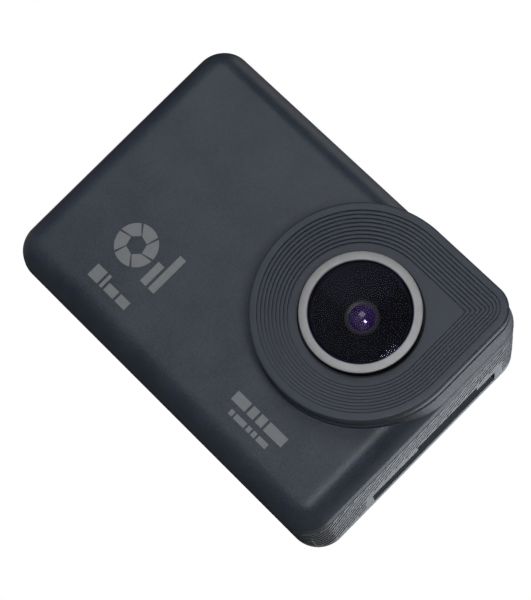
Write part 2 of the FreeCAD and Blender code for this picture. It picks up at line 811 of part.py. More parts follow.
def make_battery_group():
    """Battery, tray and contacts."""
    box("battery", "battery_left", "battery_front", "battery_low",
        "battery_wide", "battery_deep", "battery_high")
    around = "(tray_gap + tray_skin)"
    shell = box("tray_shell", f"battery_left - {around}", f"battery_front - {around}", "battery_low",
                f"battery_wide + 2*{around}", f"battery_deep + 2*{around}", "battery_high + 1.2")
    room = box("tray_room", "battery_left - tray_gap", "battery_front - tray_gap", "battery_low - 1",
               "battery_wide + 2*tray_gap", "battery_deep + 2*tray_gap",
               "battery_high + 1.2 - tray_skin + 1")
    slots = [
        box(f"contact_slot_{index}", f"battery_left + 8 + {index}*4", "battery_front + 3.6",
            "battery_low + battery_high", "1.6", "2.4", "3")
        for index in range(3)
    ]
    cut("battery_tray", shell, room, *slots)
    pins = [
        box(f"contact_{index}", f"battery_left + 8.3 + {index}*4", "battery_front + 3.9",
            "battery_low + battery_high + 0.05", "1.0", "1.8", "1.5")
        for index in range(3)
    ]
    group("battery_contacts", *pins)


def make_battery_door():
    """Bottom door: panel, hinge knuckle and the window that the latch slides in."""
    body = new_body("battery_door")
    panel = level_sketch(body, "door_panel", "0")
    draw_rectangle(panel, "pin_x + knuckle + 2*door_gap", "door_right",
                   along("door_front"), along("door_back"))
    pad(body, panel, "door_thick")
    knuckle_front = "door_front + 0.1 + ear_deep + door_gap"
    knuckle_back = "door_back - 0.1 - ear_deep - door_gap"
    neck = level_sketch(body, "door_neck", "0")
    draw_rectangle(neck, "pin_x", "pin_x + knuckle + 3*door_gap",
                   along(knuckle_front), along(knuckle_back))
    pad(body, neck, "door_thick")
    knuckle = front_sketch(body, "door_knuckle", knuckle_back)
    draw_circle(knuckle, "pin_x", "pin_z", "knuckle")
    pad(body, knuckle, f"({knuckle_back}) - ({knuckle_front})")
    hole = front_sketch(body, "door_pin_hole", "split_behind")
    draw_circle(hole, "pin_x", "pin_z", "pin_radius + fine")
    pocket(body, hole, "door_back - split_behind + 1")
    recess = level_sketch(body, "latch_recess", "0.7")
    draw_rectangle(recess, "door_right - 7.2", "door_right - 1.2",
                   along(f"{LATCH_BEHIND} - 2.6"), along(f"{LATCH_BEHIND} + 2.6"))
    pocket(body, recess, "1")
    slot = level_sketch(body, "latch_slot", "door_thick + 1")
    draw_rectangle(slot, "door_right - 6.0", "door_right - 2.4",
                   along(f"{LATCH_BEHIND} - 1.2"), along(f"{LATCH_BEHIND} + 1.2"))
    pocket(body, slot, "door_thick + 2")
    return body


def make_door_hardware():
    """Hinge pin, sliding latch and the foam pad that holds the battery down."""
    rod("door_hinge_pin", "Y", "pin_x", "door_front + 0.1", "pin_z", "pin_radius",
        "door_back - door_front - 0.2")
    thumb = box("latch_thumb", "door_right - 5.2", f"{LATCH_BEHIND} - 2.3", "0.1", "3.7", "4.6", "0.55")
    stem = box("latch_stem", "door_right - 4.3", f"{LATCH_BEHIND} - 1.0", "0.3", "1.7", "2.0", "1.7")
    bolt = box("latch_bolt", "door_right - 6.4", f"{LATCH_BEHIND} - 1.9", "door_thick + 0.1",
               "7.3", "3.8", "0.9")
    grips = [
        box(f"latch_grip_{index}", f"door_right - 4.6 + {index}*1.1", f"{LATCH_BEHIND} - 1.8", "0",
            "0.4", "3.6", "0.25")
        for index in range(3)
    ]
    cut("door_latch", fuse("latch_solid", thumb, stem, bolt), *grips)
    box("battery_pad", "battery_left + 3", "battery_front + 1.5", "door_thick",
        "battery_wide - 14", "battery_deep - 3", "0.9")


# ---------------------------------------------------------------- ports, boards and screen

def port_shell(name, window, long, tongue):
    """A metal socket shell behind its window, open towards +X, with a contact tongue."""
    front, back, low, high = window
    deep = f"({back}) - ({front}) - 2*fine"
    tall = f"({high}) - ({low}) - 2*fine"
    mouth = "width/2 - bay_sunk"
    shell = box(f"{name}_shell", f"{mouth} - {long}", f"{front} + fine", f"{low} + fine",
                long, deep, tall)
    hollow = box(f"{name}_hollow", f"{mouth} - {long} + 0.6", f"{front} + fine + 0.3",
                 f"{low} + fine + 0.3", long, f"{deep} - 0.6", f"{tall} - 0.6")
    shell = cut(f"{name}_case", shell, hollow)
    middle = f"(({front}) + ({back}))/2"
    blade = box(f"{name}_blade", f"{mouth} - {long} + 0.3", f"{middle} - {tongue}/2",
                f"{low} + 1.2", f"{long} - 1.2", tongue, f"({high}) - ({low}) - 2.4")
    fuse(name, shell, blade)


def make_ports():
    usb, hdmi, card = PORT_WINDOWS
    port_shell("usb_port", usb, "5.6", "0.6")
    port_shell("hdmi_port", hdmi, "7.4", "0.7")
    tray = box("card_case", "width/2 - bay_sunk - 15", "port_board_behind - 1.5", f"{card[2]} - 0.5",
               "14.2 - (width/2 - bay_sunk - block_x)", "1.5", f"{card[3]} - {card[2]} + 1.0")
    slit = box("card_slit", "width/2 - bay_sunk - 14.4", "card_front + 0.4", card[2],
               "15", "1.0", f"{card[3]} - {card[2]}")
    cut("card_socket", tray, slit)


def make_boards():
    """Boards with their main parts."""
    box("main_board", "-width/2 + cover_side + 0.7", "main_behind", "cover_side + 1.4",
        "width/2 - cover_side + battery_left + battery_wide - 1.3", "board", "height - 13.2")
    chip_front = "main_behind - 1.2"
    box("processor", "-18", chip_front, "16", "12", "1.2", "12")
    group("memory_chips",
          box("memory_a", "-4", chip_front, "24", "7", "1.2", "5"),
          box("memory_b", "-4", chip_front, "16.5", "7", "1.2", "5"))
    box("wifi_module", "-24.5", "main_behind - 1.9", "5", "12", "1.9", "9")
    box("wifi_antenna", "-22", "face_behind + cover_skin", "30", "22", "0.3", "6")
    box("port_board", "9", "port_board_behind", "bay_low - 0.4", "block_x - 9.2", "port_board_thick",
        "bay_high - bay_low + 1.5")
    box("microphone", "block_x - 1.1", "bay_front - 1.7", "bay_low - 2.5", "1.0", "2.0", "2.0")
    board = box("key_board_top", "shutter_x - 6", "button_behind - 3.5", "height - 5",
                "power_x - shutter_x + 11", "7", "0.3")
    flank = box("key_board_side", "battery_left - tray_gap - tray_skin - 0.25", "side_key_behind - 4.5",
                "side_key_low - 4", "0.2", "6", "side_key_pitch + 8")
    group("button_board", board, flank)


def make_screen():
    """Display, foam frame and cover glass."""
    low = "height/2 - panel_high/2"
    box("display_module", "panel_left", "panel_front", low, "panel_wide", "panel_deep", "panel_high")
    rim = box("gasket_rim", "panel_left", "panel_front + panel_deep", low,
              "panel_wide", "depth - back_skin - panel_front - panel_deep", "panel_high")
    inside = box("gasket_inside", "panel_left + 1.5", "panel_front + panel_deep - 1", f"{low} + 1.5",
                 "panel_wide - 3", "5", "panel_high - 3")
    cut("screen_gasket", rim, inside)
    body = new_body("screen_glass")
    pane = front_sketch(body, "screen_pane", "depth")
    draw_rounded(pane, "screen_x - screen_wide/2", "screen_x + screen_wide/2",
                 "height/2 - screen_high/2", "height/2 + screen_high/2", "1.95")
    pad(body, pane, "screen_thick")


# ---------------------------------------------------------------- keys, sound and fasteners

def make_top_button(name, across, radius):
    """Round key: cap through the top wall, a flange under it and a stem to its switch."""
    cap = rod(f"{name}_cap", "Z", across, "button_behind", "height - wall - 0.35", radius,
              "wall + button_proud + 0.35")
    flange = rod(f"{name}_flange", "Z", across, "button_behind", "height - wall - 1.0",
                 f"{radius} + 0.7", "0.65")
    stem = rod(f"{name}_stem", "Z", across, "button_behind", "height - wall - 1.25", "1.0", "0.5")
    fuse(name, cap, flange, stem)


def make_side_key(name, index):
    """Pill-shaped key, flush with the left side."""
    body = new_body(name)
    middle = f"side_key_low + {index}*side_key_pitch"
    face = side_sketch(body, f"{name}_face", "-width/2")
    draw_rounded(face, along("side_key_behind - side_key_deep/2"),
                 along("side_key_behind + side_key_deep/2"), f"{middle} - side_key_high/2",
                 f"{middle} + side_key_high/2", "side_key_deep/2 - 0.05")
    pad(body, face, "wall + 0.35")
    flange = side_sketch(body, f"{name}_flange", "-width/2 + wall + 0.35")
    draw_rounded(flange, along("side_key_behind - side_key_deep/2 - 0.5"),
                 along("side_key_behind + side_key_deep/2 + 0.5"),
                 f"{middle} - side_key_high/2 - 0.5", f"{middle} + side_key_high/2 + 0.5",
                 "side_key_deep/2")
    pad(body, flange, "0.9")


def make_keys():
    make_top_button("shutter_button", "shutter_x", "shutter_radius")
    make_top_button("power_button", "power_x", "power_radius")
    make_side_key("down_key", 0)
    make_side_key("up_key", 1)
    switches = [
        box(f"top_switch_{across}", f"{across} - 1.5", "button_behind - 1.5", "height - 4.7",
            "3", "3", "1.45")
        for across in ("shutter_x", "power_x")
    ]
    switches += [
        box(f"side_switch_{index}", "battery_left - tray_gap - tray_skin - 1.5", "side_key_behind - 1.5",
            f"side_key_low + {index}*side_key_pitch - 1.5", "1.25", "3", "3")
        for index in (0, 1)
    ]
    group("tact_switches", *switches)
    rod("status_light", "Z", "led_x", "button_behind", "height - wall - 0.8", "led_radius",
        "wall + 0.8")


def make_sound():
    box("speaker", "-width/2 + wall + 0.1", "side_key_behind - 4", "5.4", "2.4", "7", "11.4")


def make_fasteners():
    screws = []
    for index, (across, up) in enumerate(SCREWS):
        head_front = "lug_front + lug_deep"
        shank = rod(f"screw_shank_{index}", "Y", across, f"{head_front} - screw_long", up,
                    "screw_radius - fine", "screw_long")
        head = rod(f"screw_head_{index}", "Y", across, head_front, up, "screw_head", "1.0")
        drive = box(f"screw_drive_{index}", f"{across} - 1.0", f"{head_front} + 0.6", f"{up} - 0.2",
                    "2.0", "1.0", "0.4")
        cross = box(f"screw_cross_{index}", f"{across} - 0.2", f"{head_front} + 0.6", f"{up} - 1.0",
                    "0.4", "1.0", "2.0")
        screws.append(cut(f"screw_{index}", fuse(f"screw_solid_{index}", shank, head), drive, cross))
    group("case_screws", *screws)
    insert = rod("insert_outside", "Z", "tripod_x", "tripod_behind", "0.2", "tripod_insert",
                 "tripod_long - 0.2")
    thread = rod("insert_bore", "Z", "tripod_x", "tripod_behind", "-1", "tripod_bore",
                 "tripod_long + 2")
    cut("tripod_insert", insert, thread)


# ---------------------------------------------------------------- build, check and write

NODES = [
    "front_cover", "lens_bezel", "body_frame", "rear_cover",
    "lens_ring", "front_glass", "lens_baffle", "inner_element", "lens_barrel", "rear_elements",
    "lens_holder", "ir_filter", "image_sensor", "sensor_board", "lens_seal",
    "battery", "battery_tray", "battery_contacts",
    "battery_door", "door_hinge_pin", "door_latch", "battery_pad",
    "usb_port", "hdmi_port", "card_socket",
    "main_board", "processor", "memory_chips", "wifi_module", "wifi_antenna", "port_board",
    "microphone", "button_board",
    "display_module", "screen_gasket", "screen_glass",
    "shutter_button", "power_button", "up_key", "down_key", "tact_switches", "status_light",
    "speaker", "case_screws", "tripod_insert",
]


def build():
    make_front_cover()
    make_lens_bezel()
    make_body_frame()
    make_rear_cover()
    make_lens_ring()
    make_lens_optics()
    make_battery_group()
    make_battery_door()
    make_door_hardware()
    make_ports()
    make_boards()
    make_screen()
    make_keys()
    make_sound()
    make_fasteners()
    doc.recompute()


def check():
    """Stops if a feature failed, a pocket removed nothing or a node's shape is not sound."""
    for obj in doc.Objects:
        if {"Invalid", "Error"} & set(obj.State):
            raise RuntimeError(f"{obj.Name} failed: {obj.State}")
        if obj.TypeId == "PartDesign::Pocket":
            removed = obj.BaseFeature.Shape.Volume - obj.Shape.Volume
            if removed < 1e-4:
                raise RuntimeError(f"{obj.Name} removes nothing")
    for name in NODES:
        shape = node(name).Shape
        if shape.isNull() or not shape.isValid():
            raise RuntimeError(f"{name} has no sound shape")


def node(name):
    matches = doc.getObjectsByLabel(name)
    if len(matches) != 1:
        raise RuntimeError(f"{name} names {len(matches)} objects")
    return matches[0]


def write():
    os.makedirs("parts", exist_ok=True)
    for name in NODES:
        shape = node(name).Shape
        shape.exportStep(f"parts/{name}.step")
        span = shape.BoundBox
        print(f"{name}: {len(shape.Solids)} solid(s), {shape.Volume:.1f} mm3, "
              f"X {span.XMin:.2f}..{span.XMax:.2f} Y {span.YMin:.2f}..{span.YMax:.2f} "
              f"Z {span.ZMin:.2f}..{span.ZMax:.2f}")


build()
check()
write()
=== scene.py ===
"""Action camera: soft-edged cover, grooved lens bezel, ribbed frame, screen, keys and battery door."""
import json
import math
import bmesh
import bpy
from mathutils import Matrix, Vector


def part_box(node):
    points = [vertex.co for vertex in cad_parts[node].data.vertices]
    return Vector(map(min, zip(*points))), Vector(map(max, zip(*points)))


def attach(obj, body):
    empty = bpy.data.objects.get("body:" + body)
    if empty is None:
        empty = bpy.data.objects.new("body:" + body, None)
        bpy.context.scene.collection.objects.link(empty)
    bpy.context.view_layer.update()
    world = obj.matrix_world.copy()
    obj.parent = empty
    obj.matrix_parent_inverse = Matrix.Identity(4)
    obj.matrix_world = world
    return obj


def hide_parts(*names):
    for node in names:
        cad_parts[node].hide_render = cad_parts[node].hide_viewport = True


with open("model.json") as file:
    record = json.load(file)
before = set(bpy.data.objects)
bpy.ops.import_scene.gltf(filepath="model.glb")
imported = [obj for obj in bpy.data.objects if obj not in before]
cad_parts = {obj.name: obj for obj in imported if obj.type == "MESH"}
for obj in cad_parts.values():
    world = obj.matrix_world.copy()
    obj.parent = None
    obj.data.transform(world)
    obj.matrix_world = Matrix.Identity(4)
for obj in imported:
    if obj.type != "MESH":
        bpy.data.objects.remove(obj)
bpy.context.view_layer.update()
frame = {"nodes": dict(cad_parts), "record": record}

MM = 0.001
ROOT = "camera_body"
SLOT_OF = {part["node"]: part["material_slot"] for part in frame["record"]["subparts"]}

# ---------------------------------------------------------------- sizes, from the frame

BEZEL_LOW, BEZEL_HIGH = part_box("lens_bezel")
FRAME_LOW, FRAME_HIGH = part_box("body_frame")
RING_LOW, RING_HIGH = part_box("lens_ring")
GLASS_LOW, GLASS_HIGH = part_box("front_glass")
EYE_LOW, EYE_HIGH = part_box("inner_element")
BAFFLE_LOW, BAFFLE_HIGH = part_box("lens_baffle")

HALF_WIDTH = FRAME_HIGH.x
CASE_HIGH = FRAME_HIGH.z
LENS = Vector(((RING_LOW.x + RING_HIGH.x) / 2, 0, (RING_LOW.z + RING_HIGH.z) / 2))
RIM_Y = BEZEL_LOW.y
BEZEL_BACK = BEZEL_HIGH.y
SPLIT_Y = FRAME_LOW.y
FACE_Y = RIM_Y + 4.8 * MM
BEZEL_RADIUS = (BEZEL_HIGH.x - BEZEL_LOW.x) / 2
RING_OUTER = (RING_HIGH.x - RING_LOW.x) / 2
LENS_INSET = HALF_WIDTH - LENS.x

CASE_CORNER = 4.6 * MM
BEZEL_CORNER = 3.6 * MM
SMALLEST_CORNER = 0.3 * MM
WELD = 1e-7
ON_AXIS = 1e-6

# soft edge of the cover: how far in and how deep it runs, and how late it bends
SOFT_INSET = 4.4 * MM
SOFT_DEEP = 3.8 * MM
SOFT_POWER = 2.9
DRAFT_BACK = RIM_Y + 9.8 * MM
DRAFT_INSET = 0.19 * MM
SEAM = 0.2 * MM
JOINT_LINE = 0.7 * MM


# ---------------------------------------------------------------- outlines

def arc_points(centre, radius, start, end, steps):
    """Points on a circle in the X-Z plane, from start to end degrees."""
    turns = [math.radians(start + (end - start) * step / steps) for step in range(steps + 1)]
    return [(centre[0] + radius * math.cos(t), centre[1] + radius * math.sin(t)) for t in turns]


def rounded_outline(inset=0.0, corner=CASE_CORNER, steps=14, per_side=24):
    """The case's rounded rectangle, drawn anticlockwise from its lower right corner."""
    reach = max(corner - inset, SMALLEST_CORNER)
    corner = reach + inset
    left, right = -HALF_WIDTH + corner, HALF_WIDTH - corner
    low, high = corner, CASE_HIGH - corner
    corners = [((right, low), -90), ((right, high), 0), ((left, high), 90), ((left, low), 180)]
    points = []
    for index, (centre, start) in enumerate(corners):
        arc = arc_points(centre, reach, start, start + 90, steps)
        following, turn = corners[(index + 1) % 4]
        ahead = arc_points(following, reach, turn, turn + 90, steps)[0]
        points += arc
        points += [
            (arc[-1][0] + (ahead[0] - arc[-1][0]) * step / per_side,
             arc[-1][1] + (ahead[1] - arc[-1][1]) * step / per_side)
            for step in range(1, per_side)
        ]
    return points


def teardrop_outline(radius, corner, around=216, steps=16):
    """A circle about the lens axis whose upper right quarter runs out to a rounded corner."""
    corner = max(corner, SMALLEST_CORNER)
    reach = radius - corner
    points = arc_points((LENS.x + reach, LENS.z + reach), corner, 0, 90, steps)
    points += arc_points((LENS.x, LENS.z), radius, 90, 360, around)
    return points


def circle_outline(radius, around=216, steps=16):
    """A circle about the lens axis with as many points as the teardrop, at matching places."""
    return (arc_points((LENS.x, LENS.z), radius, 8, 82, steps)
            + arc_points((LENS.x, LENS.z), radius, 90, 360, around))


# ---------------------------------------------------------------- mesh building

def skin(mesh, loops, cap_first=False, cap_last=False, ring=False):
    """Joins loops of equal length with quads, and closes the ends where asked."""
    rows = [[mesh.verts.new(point) for point in loop] for loop in loops]
    pairs = list(zip(rows, rows[1:] + rows[:1])) if ring else list(zip(rows, rows[1:]))
    for row, following in pairs:
        count = len(row)
        for index in range(count):
            after = (index + 1) % count
            mesh.faces.new((row[index], row[after], following[after], following[index]))
    if cap_first:
        mesh.faces.new(list(reversed(rows[0])))
    if cap_last:
        mesh.faces.new(rows[-1])


def at_depth(outline, y):
    return [Vector((x, y, z)) for x, z in outline]


def finish_mesh(mesh, name, angle=32.0):
    """Turns a bmesh into an object, shaded smooth up to an angle."""
    bmesh.ops.remove_doubles(mesh, verts=mesh.verts, dist=WELD)
    bmesh.ops.recalc_face_normals(mesh, faces=mesh.faces)
    data = bpy.data.meshes.new(name)
    mesh.to_mesh(data)
    mesh.free()
    if "custom_normal" in data.attributes:
        data.attributes.remove(data.attributes["custom_normal"])
    obj = bpy.data.objects.new(name, data)
    bpy.context.scene.collection.objects.link(obj)
    shade(obj, angle)
    return obj


def shade(obj, angle=32.0):
    obj.data.polygons.foreach_set("use_smooth", [True] * len(obj.data.polygons))
    obj.data.set_sharp_from_angle(angle=math.radians(angle))


def lathe(name, profile, steps=160, angle=32.0):
    """Turns (radius, y) points about the lens axis."""
    mesh = bmesh.new()
    rows = []
    for radius, y in profile:
        if radius < ON_AXIS:
            rows.append([mesh.verts.new((LENS.x, y, LENS.z))])
            continue
        ring = arc_points((LENS.x, LENS.z), radius, 0, 360, steps)[:-1]
        rows.append([mesh.verts.new((x, y, z)) for x, z in ring])
    for row, following in zip(rows, rows[1:]):
        join_rows(mesh, row, following, steps)
    return finish_mesh(mesh, name, angle)


def join_rows(mesh, row, following, steps):
    for index in range(steps):
        after = (index + 1) % steps
        if len(row) == 1 and len(following) > 1:
            mesh.faces.new((row[0], following[after], following[index]))
        elif len(following) == 1 and len(row) > 1:
            mesh.faces.new((row[index], row[after], following[0]))
        elif len(row) > 1:
            mesh.faces.new((row[index], row[after], following[after], following[index]))


def with_boolean(obj, other, operation):
    """Applies a boolean with another object, which is then removed."""
    modifier = obj.modifiers.new("cut", "BOOLEAN")
    modifier.operation = operation
    modifier.solver = "EXACT"
    modifier.object = other
    bpy.context.view_layer.update()
    shaped = obj.evaluated_get(bpy.context.evaluated_depsgraph_get())
    data = bpy.data.meshes.new_from_object(shaped)
    obj.modifiers.clear()
    obj.data = data
    bpy.data.objects.remove(other)
    return obj


def cad_copy(node):
    """A bmesh of a CAD node's mesh with its seams joined and its flat faces merged."""
    seam = 1e-6
    flat_within = math.radians(0.6)
    mesh = bmesh.new()
    mesh.from_mesh(frame["nodes"][node].data)
    bmesh.ops.remove_doubles(mesh, verts=mesh.verts, dist=seam)
    bmesh.ops.dissolve_limit(mesh, angle_limit=flat_within, verts=mesh.verts, edges=mesh.edges)
    return mesh


def softened(node, width, body, segments=2):
    """Stands for a CAD node, with its sharp edges rounded over."""
    limit = 30.0
    mesh = cad_copy(node)
    edges = [edge for edge in mesh.edges
             if len(edge.link_faces) == 2 and edge.calc_face_angle(0) > math.radians(limit)]
    bmesh.ops.bevel(mesh, geom=edges, offset=width, offset_type="OFFSET", segments=segments,
                    profile=0.5, affect="EDGES", clamp_overlap=True)
    return place(finish_mesh(mesh, f"{node}_piece"), body, SLOT_OF[node], node)


def place(obj, body, slot, *stands_for):
    """Lets a new piece ride on a body, gives it its slot's finish and hides the nodes it stands for."""
    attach(obj, body)
    if stands_for:
        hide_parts(*stands_for)
    obj.data.materials.clear()
    obj.data.materials.append(material(slot))
    return obj


def darken(obj, name, wanted):
    """Gives a second material to the faces whose centres pass the test; here it paints shade into
    grooves, gaps, the port bay and the ring's sides.
    """
    obj.data.materials.append(material(name))
    index = len(obj.data.materials) - 1
    for face in obj.data.polygons:
        if wanted(*face.center):
            face.material_index = index


# ---------------------------------------------------------------- materials

def node_of(tree, kind, **settings):
    made = tree.nodes.new(kind)
    for name, value in settings.items():
        setattr(made, name, value)
    return made


def noise_of(tree, size, detail=3.0, roughness=0.5, stretch=(1, 1, 1)):
    """Noise whose blobs are about this many metres across, in the object's own space."""
    place_at = node_of(tree, "ShaderNodeTexCoord")
    scaling = node_of(tree, "ShaderNodeMapping")
    scaling.inputs["Scale"].default_value = stretch
    grain = node_of(tree, "ShaderNodeTexNoise")
    grain.inputs["Scale"].default_value = 1 / size
    grain.inputs["Detail"].default_value = detail
    grain.inputs["Roughness"].default_value = roughness
    tree.links.new(place_at.outputs["Object"], scaling.inputs["Vector"])
    tree.links.new(scaling.outputs["Vector"], grain.inputs["Vector"])
    return grain.outputs["Fac"]


def remap(tree, value, low, high, from_low=0.3, from_high=0.7):
    spread = node_of(tree, "ShaderNodeMapRange")
    spread.inputs["From Min"].default_value = from_low
    spread.inputs["From Max"].default_value = from_high
    spread.inputs["To Min"].default_value = low
    spread.inputs["To Max"].default_value = high
    tree.links.new(value, spread.inputs["Value"])
    return spread.outputs["Result"]


def two_tones(tree, value, dark, light):
    ramp = node_of(tree, "ShaderNodeValToRGB")
    ramp.color_ramp.elements[0].position = 0.3
    ramp.color_ramp.elements[0].color = (*dark, 1)
    ramp.color_ramp.elements[1].position = 0.7
    ramp.color_ramp.elements[1].color = (*light, 1)
    tree.links.new(value, ramp.inputs["Fac"])
    return ramp.outputs["Color"]


def surface(name, dark, light, rough, grain=0.12, height=0.004, metal=0.0, patch=6.0,
            stretch=(1, 1, 1), specular=0.5, speck=0.3):
    """A procedural finish: patchy colour, varied gloss and a fine moulded or blasted grain.

    grain, height and patch are in millimetres; rough is a (low, high) pair."""
    made = bpy.data.materials.new(name)
    made.use_nodes = True
    tree = made.node_tree
    shader = tree.nodes["Principled BSDF"]
    fine = noise_of(tree, grain * MM, detail=4.0, roughness=0.6, stretch=stretch)
    broad = noise_of(tree, patch * MM, detail=5.0, roughness=0.6)
    tone = node_of(tree, "ShaderNodeMix")
    tone.inputs["Factor"].default_value = speck
    tree.links.new(broad, tone.inputs["A"])
    tree.links.new(fine, tone.inputs["B"])
    tree.links.new(two_tones(tree, tone.outputs["Result"], dark, light), shader.inputs["Base Color"])
    tree.links.new(remap(tree, fine, *rough), shader.inputs["Roughness"])
    bump = node_of(tree, "ShaderNodeBump")
    bump.inputs["Distance"].default_value = height * MM
    bump.inputs["Strength"].default_value = 1.0
    tree.links.new(fine, bump.inputs["Height"])
    tree.links.new(bump.outputs["Normal"], shader.inputs["Normal"])
    shader.inputs["Metallic"].default_value = metal
    shader.inputs["Specular IOR Level"].default_value = specular
    return made


def coated_glass(name):
    """Clear glass with a low-reflection coating: mostly see-through, with a faint violet sheen."""
    made = bpy.data.materials.new(name)
    made.use_nodes = True
    tree = made.node_tree
    tree.nodes.remove(tree.nodes["Principled BSDF"])
    out = tree.nodes["Material Output"]
    clear = node_of(tree, "ShaderNodeBsdfTransparent")
    gloss = node_of(tree, "ShaderNodeBsdfGlossy")
    smear = noise_of(tree, 3.0 * MM, detail=4.0)
    tree.links.new(two_tones(tree, smear, (0.42, 0.48, 0.95), (0.66, 0.70, 1.0)), gloss.inputs["Color"])
    tree.links.new(remap(tree, smear, 0.01, 0.035), gloss.inputs["Roughness"])
    amount = node_of(tree, "ShaderNodeFresnel")
    amount.inputs["IOR"].default_value = 1.13
    mix = node_of(tree, "ShaderNodeMixShader")
    tree.links.new(amount.outputs["Fac"], mix.inputs["Fac"])
    tree.links.new(clear.outputs["BSDF"], mix.inputs[1])
    tree.links.new(gloss.outputs["BSDF"], mix.inputs[2])
    tree.links.new(mix.outputs["Shader"], out.inputs["Surface"])
    return made


def violet_element(name):
    """The inner element: dark glass whose coating reflects violet."""
    made = surface(name, (0.010, 0.006, 0.026), (0.050, 0.026, 0.105), (0.05, 0.12),
                   grain=0.5, height=0.0005, patch=1.2)
    shader = made.node_tree.nodes["Principled BSDF"]
    shader.inputs["Coat Weight"].default_value = 1.0
    shader.inputs["Coat Roughness"].default_value = 0.02
    shader.inputs["Coat Tint"].default_value = (0.75, 0.6, 1.0, 1)
    shader.inputs["Specular Tint"].default_value = (0.7, 0.5, 1.0, 1)
    return made


RECIPES = {
    "cover_plastic": lambda name: surface(
        name, (0.016, 0.026, 0.043), (0.062, 0.074, 0.099), (0.34, 0.54), grain=0.24, height=0.03,
        specular=0.45, speck=0.6),
    "bezel_plastic": lambda name: surface(
        name, (0.033, 0.044, 0.062), (0.047, 0.058, 0.079), (0.40, 0.56), grain=0.2, height=0.01,
        specular=0.45, speck=0.4),
    "frame_plastic": lambda name: surface(
        name, (0.190, 0.198, 0.209), (0.222, 0.231, 0.243), (0.36, 0.52), grain=0.14, height=0.006),
    "black_plastic": lambda name: surface(
        name, (0.010, 0.010, 0.012), (0.016, 0.016, 0.019), (0.42, 0.62), grain=0.2, height=0.006),
    "ring_metal": lambda name: surface(
        name, (0.44, 0.44, 0.45), (0.53, 0.53, 0.54), (0.60, 0.76), grain=0.1, height=0.006,
        metal=1.0, patch=1.5),
    "optical_glass": coated_glass,
    "violet_element": violet_element,
    "silicon": lambda name: surface(
        name, (0.01, 0.02, 0.04), (0.03, 0.03, 0.06), (0.08, 0.2), patch=2.0),
    "circuit_board": lambda name: surface(
        name, (0.006, 0.05, 0.022), (0.01, 0.075, 0.035), (0.28, 0.45), grain=0.6, height=0.02),
    "chip_black": lambda name: surface(name, (0.012, 0.012, 0.013), (0.02, 0.02, 0.021), (0.4, 0.6)),
    "seal_rubber": lambda name: surface(name, (0.012, 0.012, 0.012), (0.02, 0.02, 0.02), (0.6, 0.8)),
    "foam": lambda name: surface(
        name, (0.02, 0.02, 0.022), (0.035, 0.035, 0.037), (0.85, 0.98), grain=0.35, height=0.12),
    "battery_wrap": lambda name: surface(
        name, (0.018, 0.019, 0.021), (0.026, 0.027, 0.030), (0.28, 0.4), grain=0.8, height=0.01),
    "contact_gold": lambda name: surface(
        name, (0.62, 0.42, 0.14), (0.74, 0.52, 0.20), (0.2, 0.34), metal=1.0, patch=1.0),
    "steel": lambda name: surface(
        name, (0.42, 0.42, 0.43), (0.55, 0.55, 0.56), (0.22, 0.4), metal=1.0, patch=2.0,
        stretch=(1, 8, 1), grain=0.4),
    "key_plastic": lambda name: surface(
        name, (0.070, 0.076, 0.086), (0.082, 0.088, 0.098), (0.28, 0.42), grain=0.12, height=0.003),
    "light_pipe": lambda name: surface(
        name, (0.42, 0.45, 0.48), (0.55, 0.58, 0.60), (0.15, 0.3), patch=0.8),
    "screen_glass": lambda name: surface(
        name, (0.004, 0.004, 0.005), (0.007, 0.007, 0.009), (0.03, 0.07), grain=2.0, height=0.0006),
    "insert_brass": lambda name: surface(
        name, (0.50, 0.38, 0.18), (0.62, 0.48, 0.24), (0.24, 0.4), metal=1.0, patch=1.5,
        stretch=(1, 1, 12), grain=0.3),
    "print_ink": lambda name: surface(
        name, (0.225, 0.238, 0.252), (0.265, 0.278, 0.292), (0.5, 0.65), grain=0.1, height=0.003,
        patch=0.9),
    # painted shade: dark finish for the port bay's inside and the frame's front face at the cover joint,
    # in place of the shade there
    "bay_black": lambda name: surface(
        name, (0.020, 0.028, 0.036), (0.032, 0.042, 0.052), (0.40, 0.55), grain=0.2, height=0.01),
    # painted shade: near-black finish for groove faces on the frame, the bezel's side line and the boss's
    # line, in place of the shade inside them
    "rib_shade": lambda name: surface(
        name, (0.010, 0.013, 0.017), (0.016, 0.020, 0.025), (0.5, 0.66), grain=0.14, height=0.006),
    # the lens baffle's own black; also used as painted shade on the lens ring's sides
    "lens_black": lambda name: surface(
        name, (0.0016, 0.0016, 0.0022), (0.003, 0.003, 0.004), (0.5, 0.7), patch=2.0, specular=0.12),
    "pale_floor": lambda name: surface(
        name, (0.84, 0.84, 0.84), (0.88, 0.88, 0.88), (0.6, 0.8), grain=1.5, height=0.02, patch=60.0),
}
MADE = {}


def material(name):
    if name not in MADE:
        MADE[name] = RECIPES[name](name)
    return MADE[name]


def finish_cad_nodes():
    """Every CAD node, shown or not, gets the procedural finish of its slot."""
    for name, node in frame["nodes"].items():
        node.data.materials.clear()
        node.data.materials.append(material(SLOT_OF[name]))


# ---------------------------------------------------------------- front cover

